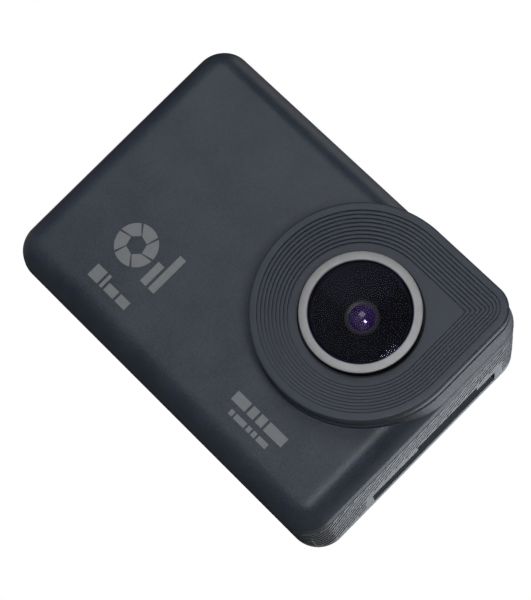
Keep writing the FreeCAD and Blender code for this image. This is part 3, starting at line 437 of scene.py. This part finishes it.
def cover_shell():
    """Cover skin: a flat face, a soft edge, a drafted side and a narrow groove at the joint."""
    flat_margin = 0.6 * MM
    wall = 2.6 * MM
    skin_thick = 1.6 * MM
    joint_deep, joint_wide = 0.45 * MM, 0.84 * MM
    lip = 0.05 * MM
    loops = [
        at_depth(rounded_outline(wall), FACE_Y + skin_thick),
        at_depth(rounded_outline(wall), SPLIT_Y),
        at_depth(rounded_outline(joint_deep), SPLIT_Y),
        at_depth(rounded_outline(joint_deep), SPLIT_Y - joint_wide),
        at_depth(rounded_outline(lip), SPLIT_Y - joint_wide - 0.02 * MM),
        at_depth(rounded_outline(0), SPLIT_Y - joint_wide - 0.08 * MM),
        at_depth(rounded_outline(0), DRAFT_BACK),
    ]
    steps = 20
    for step in range(steps + 1):
        share = step / steps
        behind = SOFT_DEEP * (1 - share) ** SOFT_POWER
        inset = DRAFT_INSET + (SOFT_INSET - DRAFT_INSET) * share
        loops.append(at_depth(rounded_outline(inset), FACE_Y + behind))
    loops.append(at_depth(rounded_outline(SOFT_INSET + flat_margin), FACE_Y))
    mesh = bmesh.new()
    skin(mesh, loops, cap_first=True, cap_last=True)
    return finish_mesh(mesh, "cover_shell")


def cover_boss():
    """Teardrop boss under the bezel; its flat sides lean out to meet the case's sides.

    Its top is drawn in a little, which leaves a narrow groove between it and the bezel; make_cover gives
    that groove painted shade so it shows as a dark line."""
    flush = 0.985
    line_deep = 0.4 * MM
    top = BEZEL_BACK + 0.02 * MM
    shoulder = top + JOINT_LINE
    foot = SPLIT_Y - 0.5 * MM
    grow = LENS_INSET - BEZEL_RADIUS
    corner_grow = CASE_CORNER - BEZEL_CORNER
    levels = [(top, line_deep), (shoulder, line_deep), (shoulder + 0.02 * MM, 0.0),
              (FACE_Y, 0.0), (FACE_Y + 1.5 * MM, 0.0), (foot, 0.0)]
    loops = []
    for y, pull in levels:
        share = min(flush, max(0.0, (y - BEZEL_BACK) / (DRAFT_BACK - BEZEL_BACK)))
        radius = BEZEL_RADIUS + grow * share - pull
        loops.append(at_depth(teardrop_outline(radius, BEZEL_CORNER + corner_grow * share), y))
    mesh = bmesh.new()
    skin(mesh, loops, cap_first=True, cap_last=True)
    return finish_mesh(mesh, "cover_boss")


def make_cover():
    """Front cover: the shell and its boss in one piece, bored for the lens."""
    bore_smaller = 1.2 * MM
    crease = 10.0
    cover = with_boolean(cover_shell(), cover_boss(), "UNION")
    mesh = bmesh.new()
    bore = circle_outline(RING_OUTER - bore_smaller)
    skin(mesh, [at_depth(bore, RIM_Y), at_depth(bore, SPLIT_Y + 1 * MM)], cap_first=True, cap_last=True)
    with_boolean(cover, finish_mesh(mesh, "bore"), "DIFFERENCE")
    shade(cover, crease)
    cover.name = "cover_piece"
    place(cover, ROOT, "cover_plastic", "front_cover")
    # painted shade: the faces of the groove between the boss and the bezel get a near-black finish
    # standing in for the shade in it
    line_end = BEZEL_BACK + JOINT_LINE + 0.05 * MM
    darken(cover, "rib_shade", lambda x, y, z: BEZEL_BACK < y < line_end)


# ---------------------------------------------------------------- lens bezel and optics

SIDE_LINE = 0.45 * MM
SIDE_LINE_END = SIDE_LINE + 0.62 * MM
SIDE_LINE_DEEP = 0.3 * MM
DISH_DEEP = 2.6 * MM
OPENING = RING_OUTER + SEAM


def bezel_side():
    """(radius, depth behind the rim) up the bezel's side, over its fine line and its rounded rim."""
    thick = BEZEL_BACK - RIM_Y
    draft = 0.02 * MM
    round_over = 0.3 * MM
    points = [
        (BEZEL_RADIUS - 3 * draft, thick),
        (BEZEL_RADIUS, thick - 4 * draft),
        (BEZEL_RADIUS, SIDE_LINE_END),
        (BEZEL_RADIUS - SIDE_LINE_DEEP, SIDE_LINE_END - draft),
        (BEZEL_RADIUS - SIDE_LINE_DEEP, SIDE_LINE + 2 * draft),
        (BEZEL_RADIUS - draft, SIDE_LINE),
    ]
    steps = 6
    for step in range(steps + 1):
        turn = math.pi / 2 * step / steps
        points.append((BEZEL_RADIUS - draft - round_over * (1 - math.cos(turn)),
                       round_over * (1 - math.sin(turn)) + draft))
    return points


def bezel_terraces():
    """(radius, depth) down the dish: nine flat terraces with a narrow groove between them."""
    dish_outer = 14.02 * MM
    first, pitch, count = 9.98 * MM, 0.4875 * MM, 9
    groove, deep, lean = 0.2 * MM, 0.16 * MM, 0.03 * MM
    points = [(dish_outer, 0.0)]
    for index in range(count):
        middle = first + (count - 1 - index) * pitch
        above, below = DISH_DEEP * index / count, DISH_DEEP * (index + 1) / count
        points += [
            (middle + groove / 2, above),
            (middle + groove / 2 - lean, below + deep),
            (middle - groove / 2 + lean, below + deep),
            (middle - groove / 2, below),
        ]
    return points


def bezel_opening():
    """(radius, depth) through the round opening for the lens ring."""
    chamfer = 0.12 * MM
    return [(OPENING + chamfer, DISH_DEEP), (OPENING, DISH_DEEP + chamfer), (OPENING, BEZEL_BACK - RIM_Y)]


def make_bezel():
    """Teardrop bezel: its rings keep the teardrop's shape down to the round opening."""
    round_inside = OPENING + 0.5 * MM
    loops = []
    for radius, behind in bezel_side() + bezel_terraces() + bezel_opening():
        corner = BEZEL_CORNER - BEZEL_RADIUS + radius
        if radius < round_inside:
            outline = circle_outline(radius)
        else:
            outline = teardrop_outline(radius, corner)
        loops.append(at_depth(outline, RIM_Y + behind))
    mesh = bmesh.new()
    skin(mesh, loops, ring=True)
    bezel = finish_mesh(mesh, "bezel_piece", angle=24.0)
    place(bezel, ROOT, "bezel_plastic", "lens_bezel")
    # painted shade: the faces of the fine line round the bezel's side get a near-black finish standing in
    # for the shade in it
    darken(bezel, "rib_shade", in_side_line)


def in_side_line(x, y, z):
    """Whether a point is inside the fine line round the bezel's side."""
    near = 0.01 * MM
    return (bezel_reach(x, z) > BEZEL_RADIUS - SIDE_LINE_DEEP - 5 * near
            and SIDE_LINE + near < y - RIM_Y < SIDE_LINE_END + 3 * near)


def bezel_reach(x, z):
    """The radius of the bezel outline that passes through a point."""
    across, up = x - LENS.x, z - LENS.z
    square = BEZEL_RADIUS - BEZEL_CORNER
    if across < 0 or up < 0:
        return math.hypot(across, up)
    if across > square and up > square:
        return square + math.hypot(across - square, up - square)
    return max(across, up)


def make_ring():
    """Metal ring with bevelled edges; only its front keeps the bright metal finish, its sides get painted
    shade in near-black.

    Each bevel is a row of (in from the edge, back from the front), in millimetres."""
    inner = GLASS_HIGH.x - LENS.x + 0.05 * MM
    front, back = RING_LOW.y, RING_HIGH.y
    inner_bevel = ((0, 0.22), (0.05, 0.08), (0.12, 0))
    outer_bevel = ((0.17, 0), (0.06, 0.06), (0, 0.2))
    profile = [(inner, back)]
    profile += [(inner + across * MM, front + down * MM) for across, down in inner_bevel]
    profile += [(RING_OUTER - across * MM, front + down * MM) for across, down in outer_bevel]
    profile += [(RING_OUTER, back), (inner, back)]
    ring = lathe("ring_piece", profile, steps=240)
    place(ring, ROOT, "ring_metal", "lens_ring")
    # painted shade: faces further back than this from the ring's front get the near-black finish in place
    # of metal
    bright_depth = 0.18 * MM
    darken(ring, "lens_black", lambda x, y, z: y > front + bright_depth)


def cap_profile(radius, apex, edge, steps=28):
    """(radius, y) points of a sphere cap, from its edge to its middle."""
    sag = edge - apex
    ball = (radius ** 2 + sag ** 2) / (2 * sag)
    lean = math.asin(radius / ball)
    return [(ball * math.sin(lean * (1 - step / steps)),
             apex + ball * (1 - math.cos(lean * (1 - step / steps)))) for step in range(steps + 1)]


EYE_DOME = 1.0 * MM


def make_front_glass(radius):
    """Domed cover glass with a ground edge."""
    edge = GLASS_LOW.y + 0.7 * MM
    chamfer, land = 0.4 * MM, 0.15 * MM
    profile = [(0.0, GLASS_HIGH.y), (radius - chamfer, GLASS_HIGH.y), (radius, edge + land)]
    profile += cap_profile(radius, GLASS_LOW.y, edge)
    place(lathe("front_glass_piece", profile, angle=50.0), ROOT, "optical_glass", "front_glass")


def make_baffle(radius, eye):
    """Ridged black funnel between the glass and the inner element."""
    start = radius - 0.5 * MM
    end = eye + 0.05 * MM
    back = BAFFLE_HIGH.y
    ridges = 11
    ridge_wide, ridge_high = 0.12 * MM, 0.10 * MM
    fall = EYE_LOW.y + EYE_DOME - BAFFLE_LOW.y
    profile = [(radius, BAFFLE_LOW.y), (start, BAFFLE_LOW.y)]
    for ridge in range(1, ridges + 1):
        share = ridge / ridges
        across = start + (end - start) * share
        down = BAFFLE_LOW.y + fall * share
        profile.append((across + ridge_wide, down - ridge_high))
        profile.append((across, down))
    profile += [(end, back), (radius, back), (radius, BAFFLE_LOW.y)]
    funnel = lathe("baffle_piece", profile, steps=120, angle=20.0)
    place(funnel, ROOT, "black_plastic", "lens_baffle")
    funnel.data.materials[0] = material("lens_black")


def make_inner_element(eye):
    """The small domed lens behind the glass, with a violet coating."""
    back = BAFFLE_HIGH.y
    dome = [(0.0, back), (eye, back)] + cap_profile(eye, EYE_LOW.y, EYE_LOW.y + EYE_DOME)
    element = lathe("inner_element_piece", dome, steps=96, angle=50.0)
    place(element, ROOT, "optical_glass", "inner_element")
    element.data.materials[0] = material("violet_element")


def make_collar(eye):
    """Thin dark ring that holds the inner element.

    Its section is a row of (out from the element's edge, back from its front), in millimetres."""
    section = ((-0.35, 0.62), (0.05, 0.75), (0.25, 0.62), (0.05, 0.45), (-0.35, 0.62))
    collar = [(eye + across * MM, EYE_LOW.y + down * MM) for across, down in section]
    place(lathe("element_collar", collar, steps=120), ROOT, "black_plastic")


def make_optics():
    radius = GLASS_HIGH.x - LENS.x
    eye = EYE_HIGH.x - LENS.x
    make_front_glass(radius)
    make_baffle(radius, eye)
    make_inner_element(eye)
    make_collar(eye)


# ---------------------------------------------------------------- ribbed frame

RIB_FRONT = SPLIT_Y + 0.65 * MM
RIB_BACK = RIM_Y + 19.25 * MM
RIB_LAST = RIM_Y + 27.6 * MM
RIB_STEP = 2.1 * MM
RIB_GROOVE = 1.05 * MM
RIB_DEEP = 0.38 * MM
RIB_PHASE = RIB_BACK + CASE_CORNER - 0.47 * MM
GROOVE_FLOOR, GROOVE_MOUTH = 0.5, 1.2
PATH_STEP = 0.5 * MM

# heights between which the ribbed band is narrow, on the right and on the left
BAY_ROOM = (10.4 * MM, CASE_HIGH - 4.9 * MM)
SOUND_ROOM = (4.9 * MM, CASE_HIGH - 4.9 * MM)


def side_path(sign):
    """Points (outward normal, x, z) up one side of the case, from its bottom corner to its top one."""
    centre = HALF_WIDTH - CASE_CORNER
    steps = 16
    path = []
    for start, middle in ((-90, CASE_CORNER), (0, CASE_HIGH - CASE_CORNER)):
        for step in range(steps + 1):
            turn = math.radians(start + 90 * step / steps)
            across, up = math.cos(turn), math.sin(turn)
            path.append(((sign * across, up),
                         sign * (centre + CASE_CORNER * across), middle + CASE_CORNER * up))
        if start < 0:
            straight = CASE_HIGH - 2 * CASE_CORNER
            cells = round(straight / PATH_STEP)
            path += [((sign, 0.0), sign * HALF_WIDTH, CASE_CORNER + straight * cell / cells)
                     for cell in range(1, cells)]
    return path


def groove_run(path, level, room):
    """The part of a path on which the slanted plane y + z = level lies within the ribbed band.

    Between the two heights of room the band is narrow; above and below it reaches further back."""
    run = []
    for (before, here) in zip(path, path[1:]):
        for share in (0.0, 0.5):
            blend = [a + (b - a) * share for a, b in zip(before[0] + before[1:], here[0] + here[1:])]
            y = level - blend[3]
            narrow = room[0] < blend[3] < room[1]
            if RIB_FRONT <= y <= (RIB_BACK if narrow else RIB_LAST):
                run.append((blend, y))
    return run


def unbroken(run, gap=1.5 * MM):
    """Splits a run where it leaves the ribbed band, and drops single points."""
    parts = []
    for item in run:
        if parts and abs(item[1] - parts[-1][-1][1]) < gap:
            parts[-1].append(item)
        else:
            parts.append([item])
    return [part for part in parts if len(part) > 1]


def groove_cutters():
    """Swept cutters for the slanted grooves, wrapped round the case's corners on both sides."""
    spare = 5
    mesh = bmesh.new()
    for sign, room in ((1, BAY_ROOM), (-1, SOUND_ROOM)):
        path = side_path(sign)
        level = RIB_PHASE - spare * RIB_STEP
        while level < RIB_LAST + CASE_HIGH:
            for run in unbroken(groove_run(path, level, room)):
                loops = [groove_section(blend, y) for blend, y in run]
                skin(mesh, loops, cap_first=True, cap_last=True)
            level += RIB_STEP
    return finish_mesh(mesh, "groove_cutters")


def groove_section(blend, y):
    """The groove's four-cornered section at a point of the path, narrow inside and wide outside."""
    out_x, out_z, x, z = blend
    inner = Vector((x - out_x * RIB_DEEP, y, z - out_z * RIB_DEEP))
    outer = Vector((x + out_x * RIB_DEEP, y, z + out_z * RIB_DEEP))
    half = Vector((0, RIB_GROOVE / 2, 0))
    return [inner - half * GROOVE_FLOOR, inner + half * GROOVE_FLOOR,
            outer + half * GROOVE_MOUTH, outer - half * GROOVE_MOUTH]


def inside_outline(x, z):
    """How far a point lies inside the case's outline."""
    across = abs(x) - (HALF_WIDTH - CASE_CORNER)
    up = abs(z - CASE_HIGH / 2) - (CASE_HIGH / 2 - CASE_CORNER)
    if across > 0 and up > 0:
        return CASE_CORNER - math.hypot(across, up)
    return CASE_CORNER - max(across, up)


def round_rear_edge(mesh, radius):
    """Rounds the frame's outer rear edge."""
    at_back, at_side = 0.02 * MM, 0.05 * MM
    edges = []
    for edge in mesh.edges:
        ends = [vert.co for vert in edge.verts]
        rear = all(abs(end.y - FRAME_HIGH.y) < at_back for end in ends)
        if rear and all(inside_outline(end.x, end.z) < at_side for end in ends):
            edges.append(edge)
    bmesh.ops.bevel(mesh, geom=edges, offset=radius, offset_type="OFFSET", segments=5,
                    profile=0.5, affect="EDGES", clamp_overlap=True)


def in_rib_groove(x, y, z):
    """Whether a point is inside a rib groove."""
    shallow, deep, margin = 0.1 * MM, 0.6 * MM, 1 * MM
    return (shallow < inside_outline(x, z) < deep
            and RIB_FRONT - margin < y < RIB_LAST + margin
            and abs(x) > HALF_WIDTH - CASE_CORNER)


def at_cover_joint(x, y, z):
    """Whether a point is on the frame's front face, which gets painted shade so it shows as a dark line
    beside the cover.
    """
    return y < SPLIT_Y + 0.02 * MM


def in_port_bay(x, y, z):
    """Whether a point is inside the port bay."""
    shallow, deep = 0.45 * MM, 2.5 * MM
    return (shallow < inside_outline(x, z) < deep
            and x > 0 and y > RIB_BACK and BAY_ROOM[0] < z < BAY_ROOM[1])


def make_frame():
    """Middle frame: the CAD shape with a rounded rear edge and the grooves wrapped round the corners."""
    rear_round = 0.8 * MM
    crease = 28.0
    mesh = cad_copy("body_frame")
    round_rear_edge(mesh, rear_round)
    body = finish_mesh(mesh, "frame_piece")
    with_boolean(body, groove_cutters(), "DIFFERENCE")
    shade(body, crease)
    place(body, ROOT, "frame_plastic", "body_frame")
    # painted shade: the rib grooves get a near-black finish standing in for the shade inside them
    darken(body, "rib_shade", in_rib_groove)
    # painted shade: the frame's front face at the cover joint and the inside of the port bay get a dark
    # finish standing in for the shade in the gap and the recess
    darken(body, "bay_black", at_cover_joint)
    darken(body, "bay_black", in_port_bay)


# ---------------------------------------------------------------- printed marks

INK_Y = FACE_Y - 0.02 * MM
INK_THICK = 0.05 * MM


def prism(mesh, points):
    """A thin flat patch of ink with this outline."""
    loops = [at_depth(points, INK_Y), at_depth(points, INK_Y + INK_THICK)]
    skin(mesh, loops, cap_first=True, cap_last=True)


def add_iris(mesh, centre):
    """Icon of a lens iris: six blades round an opening."""
    outer, inner = 3.2 * MM, 1.45 * MM
    blades = 6
    gap, root_ahead, root_behind = 3, 42, 12
    pitch = 360 / blades
    for blade in range(blades):
        turn = pitch * blade
        tip = arc_points(centre, outer, turn + gap, turn + pitch - gap, 10)
        ends = (turn + root_ahead, turn - root_behind)
        root = [arc_points(centre, inner, angle, angle, 1)[0] for angle in ends]
        prism(mesh, tip + root)


def add_bars(mesh, left, low, high, spans):
    """A row of upright bars or dashes of one height; spans holds (start, width) in millimetres."""
    for start, wide in spans:
        near, far = left + start * MM, left + start * MM + wide * MM
        prism(mesh, [(near, low), (far, low), (far, low + high), (near, low + high)])


def make_marks():
    """Abstract printed marks in place of lettering: an iris icon, level bars and rows of dashes."""
    mesh = bmesh.new()
    add_iris(mesh, (LENS.x - 30.0 * MM, LENS.z - 14.4 * MM))

    left, low = LENS.x - 26.0 * MM, LENS.z - 17.6 * MM
    add_bars(mesh, left, low, 3.7 * MM, [(0, 1.15)])
    add_bars(mesh, left, low, 6.4 * MM, [(1.6, 1.15)])

    left, low = LENS.x - 32.0 * MM, LENS.z - 22.1 * MM
    tall = 2.175 * MM
    add_bars(mesh, left, low, tall, [(0, 1.9), (2.3, 0.5)])
    add_bars(mesh, left, low, 0.62 * tall, [(3.2, 1.9), (5.5, 1.9)])

    add_bars(mesh, LENS.x - 5.0 * MM, LENS.z - 20.4 * MM, 1.55 * MM,
             [(0, 2.6), (3.0, 1.2), (4.6, 1.2), (6.2, 3.4)])
    add_bars(mesh, LENS.x - 3.9 * MM, LENS.z - 22.1 * MM, 0.85 * MM,
             [(0, 0.7), (1.0, 2.0), (3.3, 0.7), (4.3, 0.7), (5.3, 1.8)])

    marks = finish_mesh(mesh, "printed_marks")
    place(marks, ROOT, "cover_plastic")
    marks.data.materials[0] = material("print_ink")


# ---------------------------------------------------------------- keys, door, thread and screen

def upright_lathe(name, centre, profile, steps=96):
    """Turns (radius, z) points about an upright axis."""
    mesh = bmesh.new()
    rows = []
    for radius, z in profile:
        if radius < ON_AXIS:
            rows.append([mesh.verts.new((centre[0], centre[1], z))])
            continue
        ring = arc_points(centre, radius, 0, 360, steps)[:-1]
        rows.append([mesh.verts.new((x, y, z)) for x, y in ring])
    for row, following in zip(rows, rows[1:]):
        join_rows(mesh, row, following, steps)
    return finish_mesh(mesh, name)


def make_top_button(node):
    """Round key with a rounded rim, a shallow dish and one fine ring.

    The ring's section is a row of (out from the ring, down from the top), in millimetres."""
    low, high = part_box(node)
    centre = ((low.x + high.x) / 2, (low.y + high.y) / 2)
    top = high.z
    flange = (high.x - low.x) / 2
    flange_thick = 0.6 * MM
    cap = flange - 0.7 * MM
    rim = 0.3 * MM
    profile = [(0.0, low.z), (flange, low.z), (flange, low.z + flange_thick),
               (cap, low.z + flange_thick + 0.05 * MM)]
    steps = 6
    for step in range(steps + 1):
        turn = math.pi / 2 * step / steps
        profile.append((cap - rim * (1 - math.cos(turn)), top - rim * (1 - math.sin(turn))))
    ring = cap * 0.62
    ring_section = ((0.25, 0.05), (0.15, 0.15), (-0.05, 0.15), (-0.15, 0.07))
    profile += [(ring + across * MM, top - down * MM) for across, down in ring_section]
    profile += [(ring * 0.5, top - 0.14 * MM), (0.0, top - 0.17 * MM)]
    place(upright_lathe(f"{node}_piece", centre, profile), node, "key_plastic", node)


def make_thread():
    """Brass insert with a real helical thread, 20 turns to the inch."""
    low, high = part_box("tripod_insert")
    centre = ((low.x + high.x) / 2, (low.y + high.y) / 2)
    crest, root = 2.58 * MM, 3.1 * MM
    mesh = bmesh.new()
    add_thread(mesh, centre, crest, root, low.z, high.z)
    add_sleeve(mesh, centre, crest, root, (high.x - low.x) / 2, low.z, high.z)
    place(finish_mesh(mesh, "tripod_insert_piece"), ROOT, "insert_brass", "tripod_insert")


THREAD_STEPS = 48


def add_thread(mesh, centre, crest, root, bottom, top):
    """Helical surface; each turn goes from the crest to the root and back.

    The thread form is a row of (share of a turn, radius)."""
    pitch = 1.27 * MM
    inside = 0.02 * MM
    turns = int((top - bottom) / pitch)
    form = ((0.0, crest), (0.42, root), (0.52, root), (0.94, crest))
    levels = [(turn + share, radius) for turn in range(turns) for share, radius in form]
    levels.append((turns, crest))
    rows = []
    for level, radius in levels:
        row = []
        for step in range(THREAD_STEPS + 1):
            share = step / THREAD_STEPS
            angle = math.tau * share
            z = bottom + (level + share - 0.5) * pitch
            held = min(max(z, bottom + inside), top - inside)
            row.append(mesh.verts.new((centre[0] + radius * math.cos(angle),
                                       centre[1] + radius * math.sin(angle), held)))
        rows.append(row)
    for row, following in zip(rows, rows[1:]):
        for step in range(THREAD_STEPS):
            mesh.faces.new((row[step], row[step + 1], following[step + 1], following[step]))


def add_sleeve(mesh, centre, crest, root, outer, bottom, top):
    """The insert's plain outside, with a chamfered lower edge."""
    chamfer = 0.1 * MM
    mouth = crest + 0.05 * MM
    profile = [(mouth, bottom), (root + chamfer, bottom), (outer - chamfer, bottom),
               (outer, bottom + chamfer), (outer, top), (root + chamfer, top), (mouth, top)]
    rows = []
    for radius, z in profile:
        ring = arc_points(centre, radius, 0, 360, THREAD_STEPS)[:-1]
        rows.append([mesh.verts.new((x, y, z)) for x, y in ring])
    for row, following in zip(rows, rows[1:]):
        join_rows(mesh, row, following, THREAD_STEPS)


def make_small_parts():
    for node in ("shutter_button", "power_button"):
        make_top_button(node)
    for node in ("up_key", "down_key"):
        softened(node, 0.22 * MM, node, segments=3)
    softened("battery_door", 0.16 * MM, "battery_door")
    softened("door_latch", 0.09 * MM, "door_latch")
    softened("rear_cover", 0.12 * MM, ROOT)
    softened("usb_port", 0.05 * MM, ROOT)
    softened("hdmi_port", 0.05 * MM, ROOT)
    make_thread()
    softened("screen_glass", 0.18 * MM, ROOT, segments=3)


# ---------------------------------------------------------------- studio

FLOOR_Z = -0.2 * MM


def add_floor():
    """Plain pale floor just under the case."""
    mesh = bmesh.new()
    reach = 0.6
    cells = 24
    step = 2 * reach / cells
    places = [-reach + index * step for index in range(cells + 1)]
    grid = [[mesh.verts.new((x, y, 0)) for x in places] for y in places]
    for row in range(cells):
        for column in range(cells):
            mesh.faces.new((grid[row][column], grid[row][column + 1],
                            grid[row + 1][column + 1], grid[row + 1][column]))
    floor = finish_mesh(mesh, "floor")
    floor.location.z = FLOOR_Z
    floor.data.materials.append(material("pale_floor"))


def add_light(name, place_at, aim, size, power):
    data = bpy.data.lights.new(name, "AREA")
    data.shape = "RECTANGLE"
    data.size, data.size_y = size
    data.energy = power
    light = bpy.data.objects.new(name, data)
    bpy.context.scene.collection.objects.link(light)
    light.location = place_at
    direction = Vector(aim) - Vector(place_at)
    light.rotation_euler = direction.to_track_quat("-Z", "Y").to_euler()


def add_lights():
    """Small softbox for the lens highlight, a wide fill from the left and a weak one from above."""
    middle = Vector((0, 0, CASE_HIGH / 2))
    add_light("front_softbox", (0.145, -0.39, 0.02), middle, (0.12, 0.12), 0.85)
    add_light("fill_softbox", (-0.16, -0.42, 0.16), middle, (0.25, 0.25), 0.37)
    add_light("top_softbox", (-0.05, 0.25, 0.60), middle, (0.5, 0.4), 0.5)


def add_world():
    """Bright behind the case from level down, dim elsewhere; plain white where the camera looks."""
    world = bpy.data.worlds.new("studio")
    world.use_nodes = True
    tree = world.node_tree
    sky = tree.nodes["Background"]
    sky.inputs["Color"].default_value = (0.88, 0.93, 1.0, 1)
    direction = node_of(tree, "ShaderNodeTexCoord")
    behind = node_of(tree, "ShaderNodeVectorMath", operation="DOT_PRODUCT")
    behind.inputs[1].default_value = (0.25, 1.0, -0.6)
    tree.links.new(direction.outputs["Generated"], behind.inputs[0])
    strength = remap(tree, behind.outputs["Value"], 0.04, 1.65, from_low=0.6, from_high=0.95)
    tree.links.new(strength, sky.inputs["Strength"])
    backdrop = node_of(tree, "ShaderNodeBackground")
    backdrop.inputs["Color"].default_value = (1.0, 1.0, 1.0, 1)
    backdrop.inputs["Strength"].default_value = 1.0
    seen = node_of(tree, "ShaderNodeLightPath")
    mix = node_of(tree, "ShaderNodeMixShader")
    tree.links.new(seen.outputs["Is Camera Ray"], mix.inputs["Fac"])
    tree.links.new(sky.outputs["Background"], mix.inputs[1])
    tree.links.new(backdrop.outputs["Background"], mix.inputs[2])
    tree.links.new(mix.outputs["Shader"], tree.nodes["World Output"].inputs["Surface"])
    bpy.context.scene.world = world


def add_camera():
    """Looks at the case from the front right, level with the floor, rolled by 45 degrees."""
    aim = Vector((4.5 * MM, RIM_Y - 2.4 * MM, CASE_HIGH / 2 - 2.2 * MM))
    distance, to_the_right, roll = 0.250, math.radians(13.6), math.radians(45)
    above = math.asin((FLOOR_Z - aim.z) / distance)
    away = Vector((math.sin(to_the_right) * math.cos(above), -math.cos(to_the_right) * math.cos(above),
                   math.sin(above)))
    spot = aim + away * distance
    ahead = -away
    level = ahead.cross(Vector((0, 0, 1))).normalized()
    upward = level.cross(ahead)
    right = level * math.cos(roll) + upward * math.sin(roll)
    up = upward * math.cos(roll) - level * math.sin(roll)
    data = bpy.data.cameras.new("camera")
    data.sensor_fit = "HORIZONTAL"
    data.sensor_width = 36.0
    data.lens = 127.0
    data.clip_start = 0.01
    camera = bpy.data.objects.new("camera", data)
    bpy.context.scene.collection.objects.link(camera)
    camera.matrix_world = Matrix.Translation(spot) @ Matrix((right, up, -ahead)).transposed().to_4x4()
    bpy.context.scene.camera = camera


def add_studio():
    add_floor()
    add_lights()
    add_world()
    add_camera()
    bpy.context.scene.view_settings.view_transform = "Standard"


finish_cad_nodes()
make_cover()
make_bezel()
make_ring()
make_optics()
make_frame()
make_marks()
make_small_parts()
add_studio()
